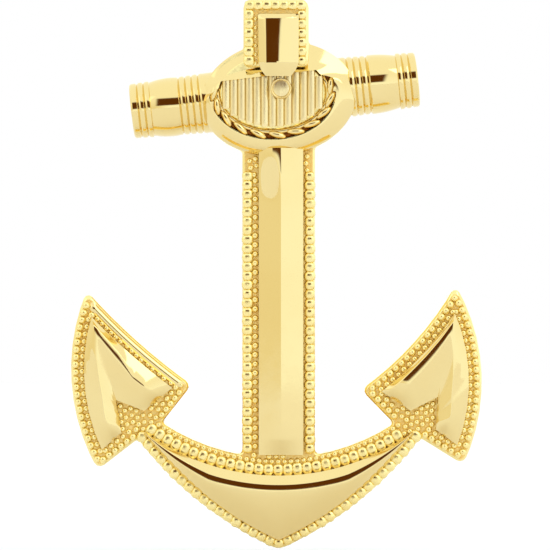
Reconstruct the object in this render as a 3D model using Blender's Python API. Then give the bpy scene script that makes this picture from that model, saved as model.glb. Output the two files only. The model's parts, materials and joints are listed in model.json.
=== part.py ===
"""Sew-on anchor button: a struck hollow shell with applied polished pieces and a swivelling sewing loop.

The button stands upright: +Z is the top of the anchor and its face looks towards -Y.  The origin is
the centre of the sewing eye.  "Depth" is measured forwards from the plane of the shell's back rim.
"""

from math import acos, atan2, ceil, cos, hypot, pi, radians, sin, sqrt, tan

import bmesh
import bpy
from mathutils import Vector

MM = 0.001

# Overall
BUTTON_HEIGHT = 36.0 * MM
EYE_BELOW_TOP = 14.0 * MM
CLEARANCE = 0.05 * MM

# Struck shell and its back plate
SHELL_DEPTH = 3.2 * MM
WALL = 0.6 * MM
FACE_THICKNESS = 0.7 * MM
EDGE_SOFTENING = 0.15 * MM
PLATE_RECESS = 0.2 * MM
PLATE_THICKNESS = 0.7 * MM

# Shank and head of the anchor
SHANK_WIDTH = 4.75 * MM
HEAD_WIDTH = 4.25 * MM
HEAD_SHIFT = -0.17 * MM
HEAD_CORNER = 0.6 * MM
SHANK_FILLET = 0.3 * MM
HEAD_FILLET = 0.4 * MM

# Crown: an inner arc and two outer arcs that meet in a blunt point
CROWN_THROAT = 6.0 * MM
CROWN_INNER_RADIUS = 13.85 * MM
CROWN_OUTER_RADIUS = 23.6 * MM
CROWN_OUTER_OFFSET = 9.5 * MM
CROWN_POINT_ROUNDING = 1.0 * MM

# Flukes: corners are (outwards, upwards) from the middle of the neck at the arm's end
ARM_REACH = 8.6 * MM
FLUKE_TIP = (3.0 * MM, 9.6 * MM)
FLUKE_INNER_CORNER = (-3.2 * MM, 2.75 * MM)
FLUKE_OUTER_CORNER = (3.5 * MM, -2.15 * MM)
NECK_UPPER = (-1.2 * MM, 0.7 * MM)
NECK_LOWER = (1.0 * MM, -0.6 * MM)
FLUKE_TIP_ROUNDING = 0.5 * MM
FLUKE_CORNER_ROUNDING = 0.45 * MM
NECK_FILLET = 0.25 * MM
RIGHT, LEFT = 1, -1
FLUKE_LEAN = {RIGHT: radians(0), LEFT: radians(6)}
FLUKE_HOLLOW_RADIUS = {RIGHT: 21.5 * MM, LEFT: 41.0 * MM}
FLUKE_BELLY_RADIUS = {RIGHT: 12.6 * MM, LEFT: 13.4 * MM}

# Crossing: an elliptical ring over the shank, tilted with the stock
CROSSING_BELOW_TOP = 6.45 * MM
STOCK_TILT = radians(6.4)
BOSS_HALF_WIDTH = 5.08 * MM
BOSS_HALF_HEIGHT = 3.75 * MM
BOSS_BAND_WIDTH = 0.98 * MM
BOSS_BAND_HEIGHT = 0.7 * MM
BOSS_RISE = 0.9 * MM
BOSS_ROUNDING = 0.35 * MM
ROPE_SHIFT = (-0.4 * MM, 0.37 * MM)
ROPE_WIDTH = 0.6 * MM
ROPE_LAYS = 19
ROPE_STRANDS = 3
ROPE_STRAND_SHARE = 0.86
ROPE_FLAT_SHARE = 0.12
DISC_FLANGE = 0.25 * MM
DISC_RISE = 0.85 * MM
DISC_RIB_HEIGHT = 0.16 * MM
DISC_RIB_PITCH = 0.455 * MM
DISC_RIM = 0.15 * MM
STUD_RADIUS = 0.69 * MM
STUD_HEIGHT = 0.45 * MM
STUD_EDGE = 0.135 * MM
STUD_SHIFT = (0.16 * MM, 0.62 * MM)

# Stock: two turned arms on one hidden tie rod
STOCK_ABOVE_CROSSING = 0.32 * MM
STOCK_REACH = {RIGHT: 9.19 * MM, LEFT: 9.73 * MM}
STOCK_ROOT_RADIUS = 2.03 * MM
STOCK_END_RADIUS = 1.8 * MM
STOCK_END_BAND = 0.42 * MM
STOCK_RIB_PITCH = 0.43 * MM
STOCK_GROOVE_DEPTH = 0.14 * MM
STOCK_GROOVE_WIDTH = 0.172 * MM
STOCK_BARREL = 1.9 * MM
STOCK_END_RIBS = 2
STOCK_ROOT_RIBS = 4
TIE_ROD_FROM_PLATE = 0.3 * MM
TIE_ROD_FROM_PEGS = 0.15 * MM
TIE_ROD_IN_ARM = 2.5 * MM
TIE_ROD_PLAY = 0.3 * MM

# Head frame and the bar on it
HEAD_FRAME_LENGTH = 4.45 * MM
HEAD_TONGUE = 0.4 * MM
HEAD_BAR_WIDTH = 2.65 * MM
HEAD_BAR_SHIFT = -0.02 * MM
HEAD_BAR_TOP_LAND = 1.0 * MM
HEAD_BAR_LENGTH = 4.05 * MM
HEAD_BAR_WALL = 0.2 * MM
HEAD_BAR_RISE = 0.5 * MM
HEAD_BAR_HIP = 0.5 * MM
HEAD_BAR_FOOT = 0.9 * MM

# Shank bar
SHANK_BAR_WIDTH = 2.9 * MM
SHANK_BAR_SHIFT = 0.15 * MM
SHANK_BAR_WALL = 0.35 * MM
SHANK_BAR_RISE = 0.7 * MM
SHANK_BAR_HIP = 1.05 * MM
SHANK_BAR_END_GAP = 0.15 * MM

# Crown crescent and fluke palms
CRESCENT_INNER_LAND = 1.1 * MM
CRESCENT_OUTER_LAND = 0.6 * MM
CRESCENT_CREST = 1.0 * MM
CRESCENT_WALL = 0.3 * MM
CRESCENT_RISE = 0.95 * MM
PALM_LAND = 0.88 * MM
PALM_FORK = (1.8 * MM, 2.3 * MM)
PALM_UPPER_HEEL = (0.05 * MM, 1.4 * MM)
PALM_LOWER_HEEL = (1.7 * MM, 0.15 * MM)
PALM_CREST_SHARE = 0.4
PALM_END_SLOPE = 3
PALM_WALL = 0.3 * MM
PALM_RISE = 0.7 * MM

# Pegs that hold the applied pieces on the shell
PEG_RADIUS = 0.35 * MM
PEG_PROUD = 0.15 * MM
PEG_ROOT = 0.12 * MM
SHANK_PEG_END_DISTANCE = 4.0 * MM
CRESCENT_PEG_REACH = 3.6 * MM
CRESCENT_PEG_DROP = 1.5 * MM
BOSS_PEG_SIDE_INSET = 1.0 * MM
BOSS_PEG_LOW_INSET = 0.53 * MM
PALM_PEG_SHARE = 0.25
HEAD_PEG_BELOW_TOP = 2.1 * MM

# Sewing loop, its collet and its washer
EYE_STANDOFF = 3.0 * MM
WIRE_RADIUS = 0.55 * MM
EYE_RADIUS = 1.35 * MM
LOOP_STEM_RADIUS = 0.6 * MM
LOOP_STEM_START_RADIUS = 0.5 * MM
COLLET_RADIUS = 1.05 * MM
COLLET_FLANGE_RADIUS = 1.55 * MM
COLLET_FLANGE = 0.35 * MM
COLLET_PROUD = 0.15 * MM
WASHER_RADIUS = 1.15 * MM
WASHER_THICKNESS = 0.3 * MM
STEM_HEAD_RADIUS = 0.85 * MM
STEM_HEAD_THICKNESS = 0.25 * MM

# Facets
CORNER_STEPS = 3
ARC_STEP = 1.3 * MM
BOSS_FACETS = 48
ROUND_FACETS = 20
EYE_FACETS = 28
PEG_FACETS = 10
ROPE_FACETS = 7
ROPE_STEPS_PER_LAY = 5
CROSS_STEPS = 3
LOBE_STEPS = 7
CRESCENT_STEPS = 11
RIB_STEPS = 4
SHOULDER_SHARE = 0.3  # how far round the boss's shoulder its middle ring lies
VALLEY_SHARE = 0.9  # how much of the ribs' height the valleys between them take
SHORTEST_RIB_SHARE = 0.05  # the least square of a rib's share of the disc's height
TIP_STEPS = 0.25  # how much of a step the crescent's end rings stay short of its tips
MIDDLE = 0.5
MOST_CORNER_SHARE = 0.45  # how much of each side a rounded corner may use
SMOOTH_ANGLE = radians(35)
SMALL_SHARE = 0.01
MEETING_ROUNDS = 8

# Levels that follow from the sizes above
TOP = EYE_BELOW_TOP
ROPE_HALF_WIDTH = BOSS_HALF_WIDTH - BOSS_BAND_WIDTH
ROPE_HALF_HEIGHT = BOSS_HALF_HEIGHT - BOSS_BAND_HEIGHT
FACE_LEVEL = SHELL_DEPTH
CAVITY_LEVEL = SHELL_DEPTH - FACE_THICKNESS
APPLIED_LEVEL = FACE_LEVEL + CLEARANCE
BOSS_LEVEL = APPLIED_LEVEL + BOSS_RISE
DISC_LEVEL = APPLIED_LEVEL + DISC_RISE
ROPE_LEVEL = APPLIED_LEVEL + DISC_FLANGE + CLEARANCE
ROPE_TOP_LEVEL = ROPE_LEVEL + ROPE_WIDTH
CROSSING_TOP_LEVEL = max(BOSS_LEVEL, ROPE_TOP_LEVEL, DISC_LEVEL) + CLEARANCE
TONGUE_LEVEL = CROSSING_TOP_LEVEL + HEAD_TONGUE
PEG_END_LEVEL = CAVITY_LEVEL - PEG_PROUD
IN_FRONT_LEVEL = TONGUE_LEVEL + SHELL_DEPTH
BEHIND_LEVEL = -SHELL_DEPTH
PLATE_FRONT_LEVEL = PLATE_RECESS + PLATE_THICKNESS
TIE_ROD_BACK_LEVEL = PLATE_FRONT_LEVEL + TIE_ROD_FROM_PLATE
TIE_ROD_FRONT_LEVEL = PEG_END_LEVEL - TIE_ROD_FROM_PEGS
TIE_ROD_RADIUS = (TIE_ROD_FRONT_LEVEL - TIE_ROD_BACK_LEVEL) / 2
STOCK_DEPTH = TIE_ROD_BACK_LEVEL + TIE_ROD_RADIUS
CROSSING = Vector((0, TOP - CROSSING_BELOW_TOP))
ROPE_CENTRE = CROSSING + Vector(ROPE_SHIFT)
STUD_CENTRE = CROSSING + Vector(STUD_SHIFT)
STOCK_CENTRE = CROSSING + Vector((0, STOCK_ABOVE_CROSSING))
CROWN_POINT = TOP - BUTTON_HEIGHT
INNER_ARC_CENTRE = Vector((0, CROWN_POINT + CROWN_THROAT + CROWN_INNER_RADIUS))
EYE_BACK = Vector((0, 0))


# ---------------------------------------------------------------- plane geometry


def place(point, depth):
    """A point of the front view at a depth, in the button's frame."""
    return Vector((point[0], -(EYE_STANDOFF + depth), point[1]))


def turned(vector, angle):
    across, up = vector
    return Vector((across * cos(angle) - up * sin(angle), across * sin(angle) + up * cos(angle)))


def polar(centre, radius, angle):
    return centre + Vector((cos(angle), sin(angle))) * radius


def bow(first, last, radius, side, steps):
    """Points of an arc between two points, bulging to the left (1) or right (-1) of the way."""
    path, _ = bowed(first, last, radius, side)
    return [path(step / steps) for step in range(1, steps)]


def line_meets_circle(first, through, centre, radius):
    """The first place where the ray from one point through another crosses a circle."""
    along = (through - first).normalized()
    offset = first - centre
    middle = -offset.dot(along)
    half = sqrt(radius**2 - (offset.length_squared - middle**2))
    reach = middle - half if middle - half > 0 else middle + half
    return first + along * reach


def circles_meet(centre, radius, other_centre, other_radius):
    """The lower one of two circles' meeting points."""
    between = other_centre - centre
    distance = between.length
    along = (radius**2 - other_radius**2 + distance**2) / (2 * distance)
    across = sqrt(radius**2 - along**2)
    direction = between / distance
    normal = Vector((-direction.y, direction.x))
    meetings = [centre + direction * along + normal * across * sign for sign in (1, -1)]
    return min(meetings, key=lambda point: point.y)


def ellipse(centre, half_width, half_height, angle, tilt=0.0):
    return centre + turned((half_width * cos(angle), half_height * sin(angle)), tilt)


def ellipse_ring(centre, half_width, half_height, depth, tilt=0.0, facets=BOSS_FACETS):
    angles = [2 * pi * step / facets for step in range(facets)]
    return [place(ellipse(centre, half_width, half_height, angle, tilt), depth) for angle in angles]


def boss_angle(x, upper):
    """Where the boss's ellipse crosses a vertical line, as the ellipse's own angle."""
    across = BOSS_HALF_WIDTH * cos(STOCK_TILT)
    lean = BOSS_HALF_HEIGHT * sin(STOCK_TILT)
    half = acos((x - CROSSING.x) / hypot(across, lean))
    return -atan2(lean, across) + (half if upper else -half)


def boss_point(angle):
    return ellipse(CROSSING, BOSS_HALF_WIDTH, BOSS_HALF_HEIGHT, angle, STOCK_TILT)


# A path is (a function from a share of the way to a point, how many steps it is drawn in).
# An outline is a list of (rounding, path), clockwise as the face is seen: a corner and the path after it.


def straight(first, last):
    return (lambda share: first + (last - first) * share), 1


def round_path(first, last, centre):
    """The shorter arc about a centre from one point to another."""
    start = atan2(*(first - centre).yx)
    sweep = (atan2(*(last - centre).yx) - start + pi) % (2 * pi) - pi
    radius = (first - centre).length
    steps = max(2, ceil(abs(sweep) * radius / ARC_STEP))
    return (lambda share: polar(centre, radius, start + sweep * share)), steps


def bowed(first, last, radius, side):
    """An arc of this radius between two points, bulging to the left (1) or right (-1) of the way."""
    along = last - first
    half = along.length / 2
    outwards = Vector((-along.y, along.x)).normalized() * side
    return round_path(first, last, (first + last) / 2 - outwards * sqrt(max(radius**2 - half**2, 0)))


def boss_path(start, end):
    steps = ceil(abs(end - start) * BOSS_HALF_WIDTH / ARC_STEP)
    return (lambda share: boss_point(start + (end - start) * share)), steps


def backwards(path):
    return (lambda share: path[0](1 - share)), path[1]


def heading(path, share):
    return (path[0](share + SMALL_SHARE) - path[0](share - SMALL_SHARE)) / (2 * SMALL_SHARE)


def moved_in(path, share, distance):
    """A point of a path that is moved to the right of its way."""
    ahead = heading(path, share).normalized()
    return path[0](share) + Vector((ahead.y, -ahead.x)) * distance


def meeting(before, after, distance):
    """The shares of two paths at which they meet once both are moved in."""
    share_before, share_after = 1.0, 0.0
    for _ in range(MEETING_ROUNDS):
        gap = moved_in(after, share_after, distance) - moved_in(before, share_before, distance)
        ahead, behind = heading(before, share_before), heading(after, share_after)
        cross = behind.x * ahead.y - behind.y * ahead.x
        share_before += (behind.x * gap.y - behind.y * gap.x) / cross
        share_after += (ahead.x * gap.y - ahead.y * gap.x) / cross
    return share_before, share_after


def inset_paths(outline, distance):
    """Each path of the outline moved in and trimmed at its neighbours."""
    paths = [path for _, path in outline]
    meetings = [meeting(paths[index - 1], path, distance) for index, path in enumerate(paths)]
    trimmed = []
    for index, path in enumerate(paths):
        start, end = meetings[index][1], meetings[(index + 1) % len(outline)][0]

        def inner(share, path=path, start=start, end=end):
            return moved_in(path, start + (end - start) * share, distance)

        trimmed.append((inner, path[1]))
    return trimmed


def rounded(outline, distance):
    """The points of the outline moved in, with each rounded corner as a short arc."""
    corners = []
    for (rounding, _), (inner, steps) in zip(outline, inset_paths(outline, distance)):
        corners += [(inner(step / steps), rounding if step == 0 else 0) for step in range(steps)]
    points = []
    for index, (point, rounding) in enumerate(corners):
        if not rounding:
            points.append(point)
            continue
        back = corners[index - 1][0] - point
        ahead = corners[(index + 1) % len(corners)][0] - point
        outer = back.x * ahead.y - back.y * ahead.x > 0
        rounding = max(rounding + (-distance if outer else distance), CLEARANCE)
        half_turn = (pi - back.angle(ahead)) / 2
        reach = min(rounding * tan(half_turn), MOST_CORNER_SHARE * min(back.length, ahead.length))
        first = point + back.normalized() * reach
        last = point + ahead.normalized() * reach
        between = bow(first, last, reach / tan(half_turn), 1 if outer else -1, CORNER_STEPS)
        points += [first, *between, last]
    return points


def level(outline, distance, depth):
    return [place(point, depth) for point in rounded(outline, distance)]


def polygon(corners):
    """An outline of straight paths through (point, rounding) corners."""
    ends = corners[1:] + corners[:1]
    return [(rounding, straight(point, end)) for (point, rounding), (end, _) in zip(corners, ends)]


# ---------------------------------------------------------------- the anchor's outline


def outer_arc_centre(side):
    height = sqrt(CROWN_OUTER_RADIUS**2 - CROWN_OUTER_OFFSET**2)
    return Vector((-side * CROWN_OUTER_OFFSET, CROWN_POINT + height))


def neck_middle(side):
    inner = INNER_ARC_CENTRE.y - sqrt(CROWN_INNER_RADIUS**2 - ARM_REACH**2)
    outer_reach = ARM_REACH + CROWN_OUTER_OFFSET
    outer = outer_arc_centre(side).y - sqrt(CROWN_OUTER_RADIUS**2 - outer_reach**2)
    return Vector((side * ARM_REACH, (inner + outer) / 2))


def fluke_point(side, corner):
    """A fluke corner in the front view; the fluke leans outwards about the middle of its neck."""
    outwards, upwards = turned(corner, -FLUKE_LEAN[side])
    return neck_middle(side) + Vector((side * outwards, upwards))


def half_outline(side):
    """One side's corners from the head's top down, each with its rounding and the path after it."""
    head = Vector((HEAD_SHIFT + side * HEAD_WIDTH / 2, TOP))
    boss_start = boss_angle(head.x, True)
    boss_end = boss_angle(side * SHANK_WIDTH / 2, False) + (2 * pi if side == LEFT else 0)
    half = SHANK_WIDTH / 2
    root = Vector((side * half, INNER_ARC_CENTRE.y - sqrt(CROWN_INNER_RADIUS**2 - half**2)))
    inner = fluke_point(side, FLUKE_INNER_CORNER)
    tip = fluke_point(side, FLUKE_TIP)
    outer = fluke_point(side, FLUKE_OUTER_CORNER)
    outer_centre = outer_arc_centre(side)
    neck_upper, neck_lower = fluke_point(side, NECK_UPPER), fluke_point(side, NECK_LOWER)
    upper = line_meets_circle(inner, neck_upper, INNER_ARC_CENTRE, CROWN_INNER_RADIUS)
    lower = line_meets_circle(outer, neck_lower, outer_centre, CROWN_OUTER_RADIUS)
    return [
        (HEAD_CORNER, straight(head, boss_point(boss_start))),
        (HEAD_FILLET, boss_path(boss_start, boss_end)),
        (SHANK_FILLET, straight(boss_point(boss_end), root)),
        (SHANK_FILLET, round_path(root, upper, INNER_ARC_CENTRE)),
        (NECK_FILLET, straight(upper, inner)),
        (FLUKE_CORNER_ROUNDING, bowed(inner, tip, FLUKE_HOLLOW_RADIUS[side], -side)),
        (FLUKE_TIP_ROUNDING, bowed(tip, outer, FLUKE_BELLY_RADIUS[side], side)),
        (FLUKE_CORNER_ROUNDING, straight(outer, lower)),
        (NECK_FILLET, round_path(lower, Vector((0, CROWN_POINT)), outer_centre)),
    ]


UPPER_EDGE, OUTER_EDGE = 5, 6  # a fluke's two long edges in half_outline


def anchor_outline():
    right, left = half_outline(RIGHT), half_outline(LEFT)
    top = straight(left[0][1][0](0), right[0][1][0](0))
    left_upwards = left[::-1]
    roundings = [rounding for rounding, _ in right] + [CROWN_POINT_ROUNDING]
    roundings += [rounding for rounding, _ in left_upwards]
    paths = [path for _, path in right] + [backwards(path) for _, path in left_upwards] + [top]
    return list(zip(roundings, paths))


# ---------------------------------------------------------------- solids


def material(name, colour, roughness, metallic=1.0):
    look = bpy.data.materials.new(name)
    look.use_nodes = True
    surface = look.node_tree.nodes["Principled BSDF"]
    surface.inputs["Base Color"].default_value = (*colour, 1)
    surface.inputs["Roughness"].default_value = roughness
    surface.inputs["Metallic"].default_value = metallic
    look.diffuse_color = (*colour, 1)
    return look


def stack(name, rings, look=None, endless=False, origin=(0, 0, 0)):
    """A solid through rings of points that match one to one; an endless stack closes on itself."""
    mesh = bpy.data.meshes.new(name)
    shape = bmesh.new()
    start = Vector(origin)
    loops = [[shape.verts.new(point - start) for point in ring] for ring in rings]
    pairs = zip(loops, loops[1:] + loops[:1]) if endless else zip(loops, loops[1:])
    for one, two in pairs:
        for index in range(len(one)):
            shape.faces.new((one[index - 1], one[index], two[index], two[index - 1]))
    if not endless:
        shape.faces.new(loops[0])
        shape.faces.new(loops[-1])
    bmesh.ops.recalc_face_normals(shape, faces=shape.faces)
    shape.to_mesh(mesh)
    shape.free()
    mesh.shade_smooth()
    mesh.set_sharp_from_angle(angle=SMOOTH_ANGLE)
    made = bpy.data.objects.new(name, mesh)
    made.location = start
    bpy.context.scene.collection.objects.link(made)
    if look:
        mesh.materials.append(look)
    return made


def combine(base, operation, tool):
    """A Boolean on the base; the tool stays in the file as a hidden helper."""
    tool.hide_render = True
    tool.display_type = "WIRE"
    modifier = base.modifiers.new(tool.name, "BOOLEAN")
    modifier.operation = operation
    modifier.object = tool
    return base


def round_ring(centre, radius, depth, facets=ROUND_FACETS):
    return ellipse_ring(Vector(centre), radius, radius, depth, 0.0, facets)


def post(name, centre, radius, low, high, look=None, facets=ROUND_FACETS):
    rings = [round_ring(centre, radius, depth, facets) for depth in (low, high)]
    return stack(name, rings, look)


def peg(piece, hosts, centre, root_level):
    """A peg under an applied piece, and its hole in each piece that it passes through."""
    number = len(piece.modifiers) + 1
    name = f"{piece.name}_peg_{number}"
    root = root_level + PEG_ROOT
    combine(piece, "UNION", post(name, centre, PEG_RADIUS, PEG_END_LEVEL, root, None, PEG_FACETS))
    for host in hosts:
        hole_name = f"{name}_hole_in_{host.name}"
        bore = PEG_RADIUS + CLEARANCE
        hole = post(hole_name, centre, bore, 0, IN_FRONT_LEVEL, None, PEG_FACETS)
        combine(host, "DIFFERENCE", hole)


def crest_heights(crest, dome):
    """(share across, share of the rise) over a ridged section, from its first side to its second."""
    shares = [step / CROSS_STEPS for step in range(CROSS_STEPS + 1)]
    curve = (lambda share: sin(share * pi / 2)) if dome else (lambda share: share)
    up = [(share * crest, curve(share)) for share in shares]
    down = [(1 - share * (1 - crest), curve(share)) for share in reversed(shares[:-1])]
    return up + down


def ridged_section(first, second, base, wall, rise, crest, dome=True):
    """A closed section from one edge point to the other: two low walls and a ridge between them."""
    heights = crest_heights(crest, dome)
    top = [place(first.lerp(second, share), base + wall + rise * up) for share, up in heights]
    return [place(first, base), *top, place(second, base)]


def make_shell(look):
    outline = anchor_outline()
    rings = [
        level(outline, WALL, CAVITY_LEVEL),
        level(outline, WALL, 0),
        level(outline, 0, 0),
        level(outline, 0, FACE_LEVEL - EDGE_SOFTENING),
        level(outline, EDGE_SOFTENING, FACE_LEVEL),
    ]
    return stack("anchor_shell", rings, look)


def make_back_plate(look):
    outline = anchor_outline()
    rings = [level(outline, WALL + CLEARANCE, depth) for depth in (PLATE_RECESS, PLATE_FRONT_LEVEL)]
    plate = stack("back_plate", rings, look)
    hole = post("collet_hole", EYE_BACK, COLLET_RADIUS + CLEARANCE, BEHIND_LEVEL, SHELL_DEPTH)
    return combine(plate, "DIFFERENCE", hole)


def make_shank_bar(look):
    half = SHANK_BAR_WIDTH / 2
    throat = INNER_ARC_CENTRE.y - sqrt(CROWN_INNER_RADIUS**2 - half**2)
    low = throat + SHANK_BAR_END_GAP
    stations = [(CROSSING.y, 1), (low + SHANK_BAR_HIP, 1), (low, 0)]
    rings = []
    for height, share in stations:
        first = Vector((SHANK_BAR_SHIFT - half, height))
        second = Vector((SHANK_BAR_SHIFT + half, height))
        ends = (first, second, APPLIED_LEVEL)
        rings.append(ridged_section(*ends, SHANK_BAR_WALL, SHANK_BAR_RISE * share, MIDDLE, False))
    bar = stack("shank_bar", rings, look)
    trim = crossing_block("shank_bar_top_trim", CLEARANCE, 0, IN_FRONT_LEVEL)
    return combine(bar, "DIFFERENCE", trim), low


def crescent_stations():
    """(inner edge, outer edge) from the left tip to the right one."""
    inner_radius = CROWN_INNER_RADIUS + CRESCENT_INNER_LAND
    outer_radius = CROWN_OUTER_RADIUS - CRESCENT_OUTER_LAND
    halves = {}
    for side in (LEFT, RIGHT):
        outer_centre = outer_arc_centre(side)
        tip = circles_meet(INNER_ARC_CENTRE, inner_radius, outer_centre, outer_radius)
        inner_sweep = atan2(tip.x, INNER_ARC_CENTRE.y - tip.y)
        outer_start = atan2(-outer_centre.x, sqrt(outer_radius**2 - outer_centre.x**2))
        outer_sweep = atan2(tip.x - outer_centre.x, outer_centre.y - tip.y) - outer_start
        rows = []
        for step in range(CRESCENT_STEPS):
            share = step / (CRESCENT_STEPS - 1 + TIP_STEPS)
            inner = polar(INNER_ARC_CENTRE, inner_radius, inner_sweep * share - pi / 2)
            outer = polar(outer_centre, outer_radius, outer_start + outer_sweep * share - pi / 2)
            rows.append((inner, outer))
        halves[side] = rows
    return halves[LEFT][:0:-1] + halves[RIGHT]


def make_crescent(look):
    rings = []
    for inner, outer in crescent_stations():
        width = (outer - inner).length
        crest = min(CRESCENT_CREST / width, MIDDLE)
        rise = CRESCENT_RISE * min(1, width * MIDDLE / CRESCENT_CREST)
        rings.append(ridged_section(inner, outer, APPLIED_LEVEL, CRESCENT_WALL, rise, crest))
    return stack("crown_crescent", rings, look)


def palm_edges(side):
    """The palm's two outer edges, both from the upper lobe's corner towards the lower lobe's."""
    outline = anchor_outline()
    inner = inset_paths(outline, PALM_LAND)
    if side == RIGHT:
        return inner[UPPER_EDGE][0], inner[OUTER_EDGE][0]
    last = len(outline) - 2
    return backwards(inner[last - UPPER_EDGE])[0], backwards(inner[last - OUTER_EDGE])[0]


def make_palm(side, name, look):
    """A ridged chevron: its upper lobe runs to the tip and its lower lobe runs down from there."""
    upper_edge, outer_edge = palm_edges(side)
    fork = fluke_point(side, PALM_FORK)
    upper_heel = fluke_point(side, PALM_UPPER_HEEL)
    lower_heel = fluke_point(side, PALM_LOWER_HEEL)
    shares = [step / LOBE_STEPS for step in range(LOBE_STEPS + 1)]
    stations = [(upper_edge(share), upper_heel.lerp(fork, share), share) for share in shares[:-1]]
    stations += [(outer_edge(share), fork.lerp(lower_heel, share), 1 - share) for share in shares]
    rings = []
    for outer, inner, nearness in stations:
        rise = PALM_RISE * min(1, PALM_END_SLOPE * nearness)
        rings.append(ridged_section(outer, inner, APPLIED_LEVEL, PALM_WALL, rise, PALM_CREST_SHARE))
    return stack(name, rings, look)


# ---------------------------------------------------------------- the crossing


def make_ring_boss(look):
    """An elliptical ring with rounded shoulders; its hole takes the disc's flange and the rope."""
    hole_width = ROPE_HALF_WIDTH + CLEARANCE
    hole_height = ROPE_HALF_HEIGHT + CLEARANCE
    shoulder = BOSS_LEVEL - BOSS_ROUNDING
    round_in = SHOULDER_SHARE * BOSS_ROUNDING
    outer = [(0, APPLIED_LEVEL), (0, shoulder), (round_in, BOSS_LEVEL - round_in)]
    outer.append((BOSS_ROUNDING, BOSS_LEVEL))
    rings = [
        ellipse_ring(CROSSING, BOSS_HALF_WIDTH - back, BOSS_HALF_HEIGHT - back, depth, STOCK_TILT)
        for back, depth in outer
    ]
    turn_back = round(BOSS_FACETS * STOCK_TILT / (2 * pi))
    for depth in (BOSS_LEVEL, APPLIED_LEVEL):
        ring = ellipse_ring(ROPE_CENTRE, hole_width, hole_height, depth)
        rings.append(ring[turn_back:] + ring[:turn_back])
    return stack("ring_boss", rings, look, endless=True)


def make_disc(look):
    half_width = ROPE_HALF_WIDTH - ROPE_WIDTH - CLEARANCE
    half_height = ROPE_HALF_HEIGHT - ROPE_WIDTH - CLEARANCE
    flange_level = APPLIED_LEVEL + DISC_FLANGE
    rings = [
        ellipse_ring(ROPE_CENTRE, ROPE_HALF_WIDTH, ROPE_HALF_HEIGHT, APPLIED_LEVEL),
        ellipse_ring(ROPE_CENTRE, ROPE_HALF_WIDTH, ROPE_HALF_HEIGHT, flange_level),
        ellipse_ring(ROPE_CENTRE, half_width, half_height, flange_level),
        ellipse_ring(ROPE_CENTRE, half_width, half_height, DISC_LEVEL - DISC_RIB_HEIGHT),
    ]
    disc = stack("ribbed_disc", rings, look)
    combine(disc, "UNION", make_disc_ribs(half_width - DISC_RIM, half_height - DISC_RIM))
    return disc


def make_disc_ribs(half_width, half_height):
    """Upright ribs side by side across the disc, as one ridged slab that is rooted in it."""
    count = 2 * int(half_width / DISC_RIB_PITCH - 0.5) + 1
    reach = count * DISC_RIB_PITCH / 2
    root = DISC_LEVEL - DISC_RIB_HEIGHT - DISC_FLANGE
    rings = []
    for step in range(count * RIB_STEPS + 1):
        across = -reach + step * DISC_RIB_PITCH / RIB_STEPS
        up = abs(sin(pi * step / RIB_STEPS))
        half = half_height * sqrt(max(1 - (across / half_width) ** 2, SHORTEST_RIB_SHARE))
        top = DISC_LEVEL - DISC_RIB_HEIGHT * VALLEY_SHARE * (1 - up)
        high, low = (ROPE_CENTRE + Vector((across, end * half)) for end in (1, -1))
        rings.append([place(high, root), place(high, top), place(low, top), place(low, root)])
    return stack("disc_ribs", rings)


def make_rope(look):
    """A rope laid round the disc: a swept section with flats that turn as it goes."""
    stations = ROPE_LAYS * ROPE_STEPS_PER_LAY
    radius = ROPE_WIDTH / 2
    rings = []
    for step in range(stations):
        angle = 2 * pi * step / stations
        centre = ellipse(ROPE_CENTRE, ROPE_HALF_WIDTH - radius, ROPE_HALF_HEIGHT - radius, angle)
        outwards = Vector((cos(angle) / ROPE_HALF_WIDTH, sin(angle) / ROPE_HALF_HEIGHT)).normalized()
        lay = angle * ROPE_LAYS / ROPE_STRANDS
        ring = []
        for facet in range(ROPE_FACETS):
            around = 2 * pi * facet / ROPE_FACETS
            flat = cos(ROPE_STRANDS * (around - lay))
            strand = radius * (ROPE_STRAND_SHARE + ROPE_FLAT_SHARE * flat)
            point = centre + outwards * strand * cos(around)
            ring.append(place(point, ROPE_LEVEL + radius + strand * sin(around)))
        rings.append(ring)
    return stack("rope_trim", rings, look, endless=True)


def make_stud(look, hosts):
    """A rivet through the disc: its head shows, its shank ends inside the shell."""
    base = DISC_LEVEL + CLEARANCE
    sections = [
        (PEG_RADIUS, PEG_END_LEVEL),
        (PEG_RADIUS, base),
        (STUD_RADIUS, base),
        (STUD_RADIUS, base + STUD_HEIGHT - STUD_EDGE),
        (STUD_RADIUS - STUD_EDGE, base + STUD_HEIGHT),
    ]
    rings = [round_ring(STUD_CENTRE, radius, depth) for radius, depth in sections]
    stud = stack("centre_stud", rings, look)
    for host in hosts:
        name = f"stud_hole_in_{host.name}"
        hole = post(name, STUD_CENTRE, PEG_RADIUS + CLEARANCE, 0, IN_FRONT_LEVEL)
        combine(host, "DIFFERENCE", hole)
    return stud


# ---------------------------------------------------------------- the stock


def stock_point(distance, radius, angle):
    """A point round the stock's axis, at a distance along it to the right of the shank."""
    along = turned((1, 0), STOCK_TILT)
    upwards = turned((0, 1), STOCK_TILT)
    point = STOCK_CENTRE + along * distance + upwards * radius * cos(angle)
    return place(point, STOCK_DEPTH + radius * sin(angle))


def stock_ring(distance, radius, facets=ROUND_FACETS):
    return [stock_point(distance, radius, 2 * pi * step / facets) for step in range(facets)]


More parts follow.
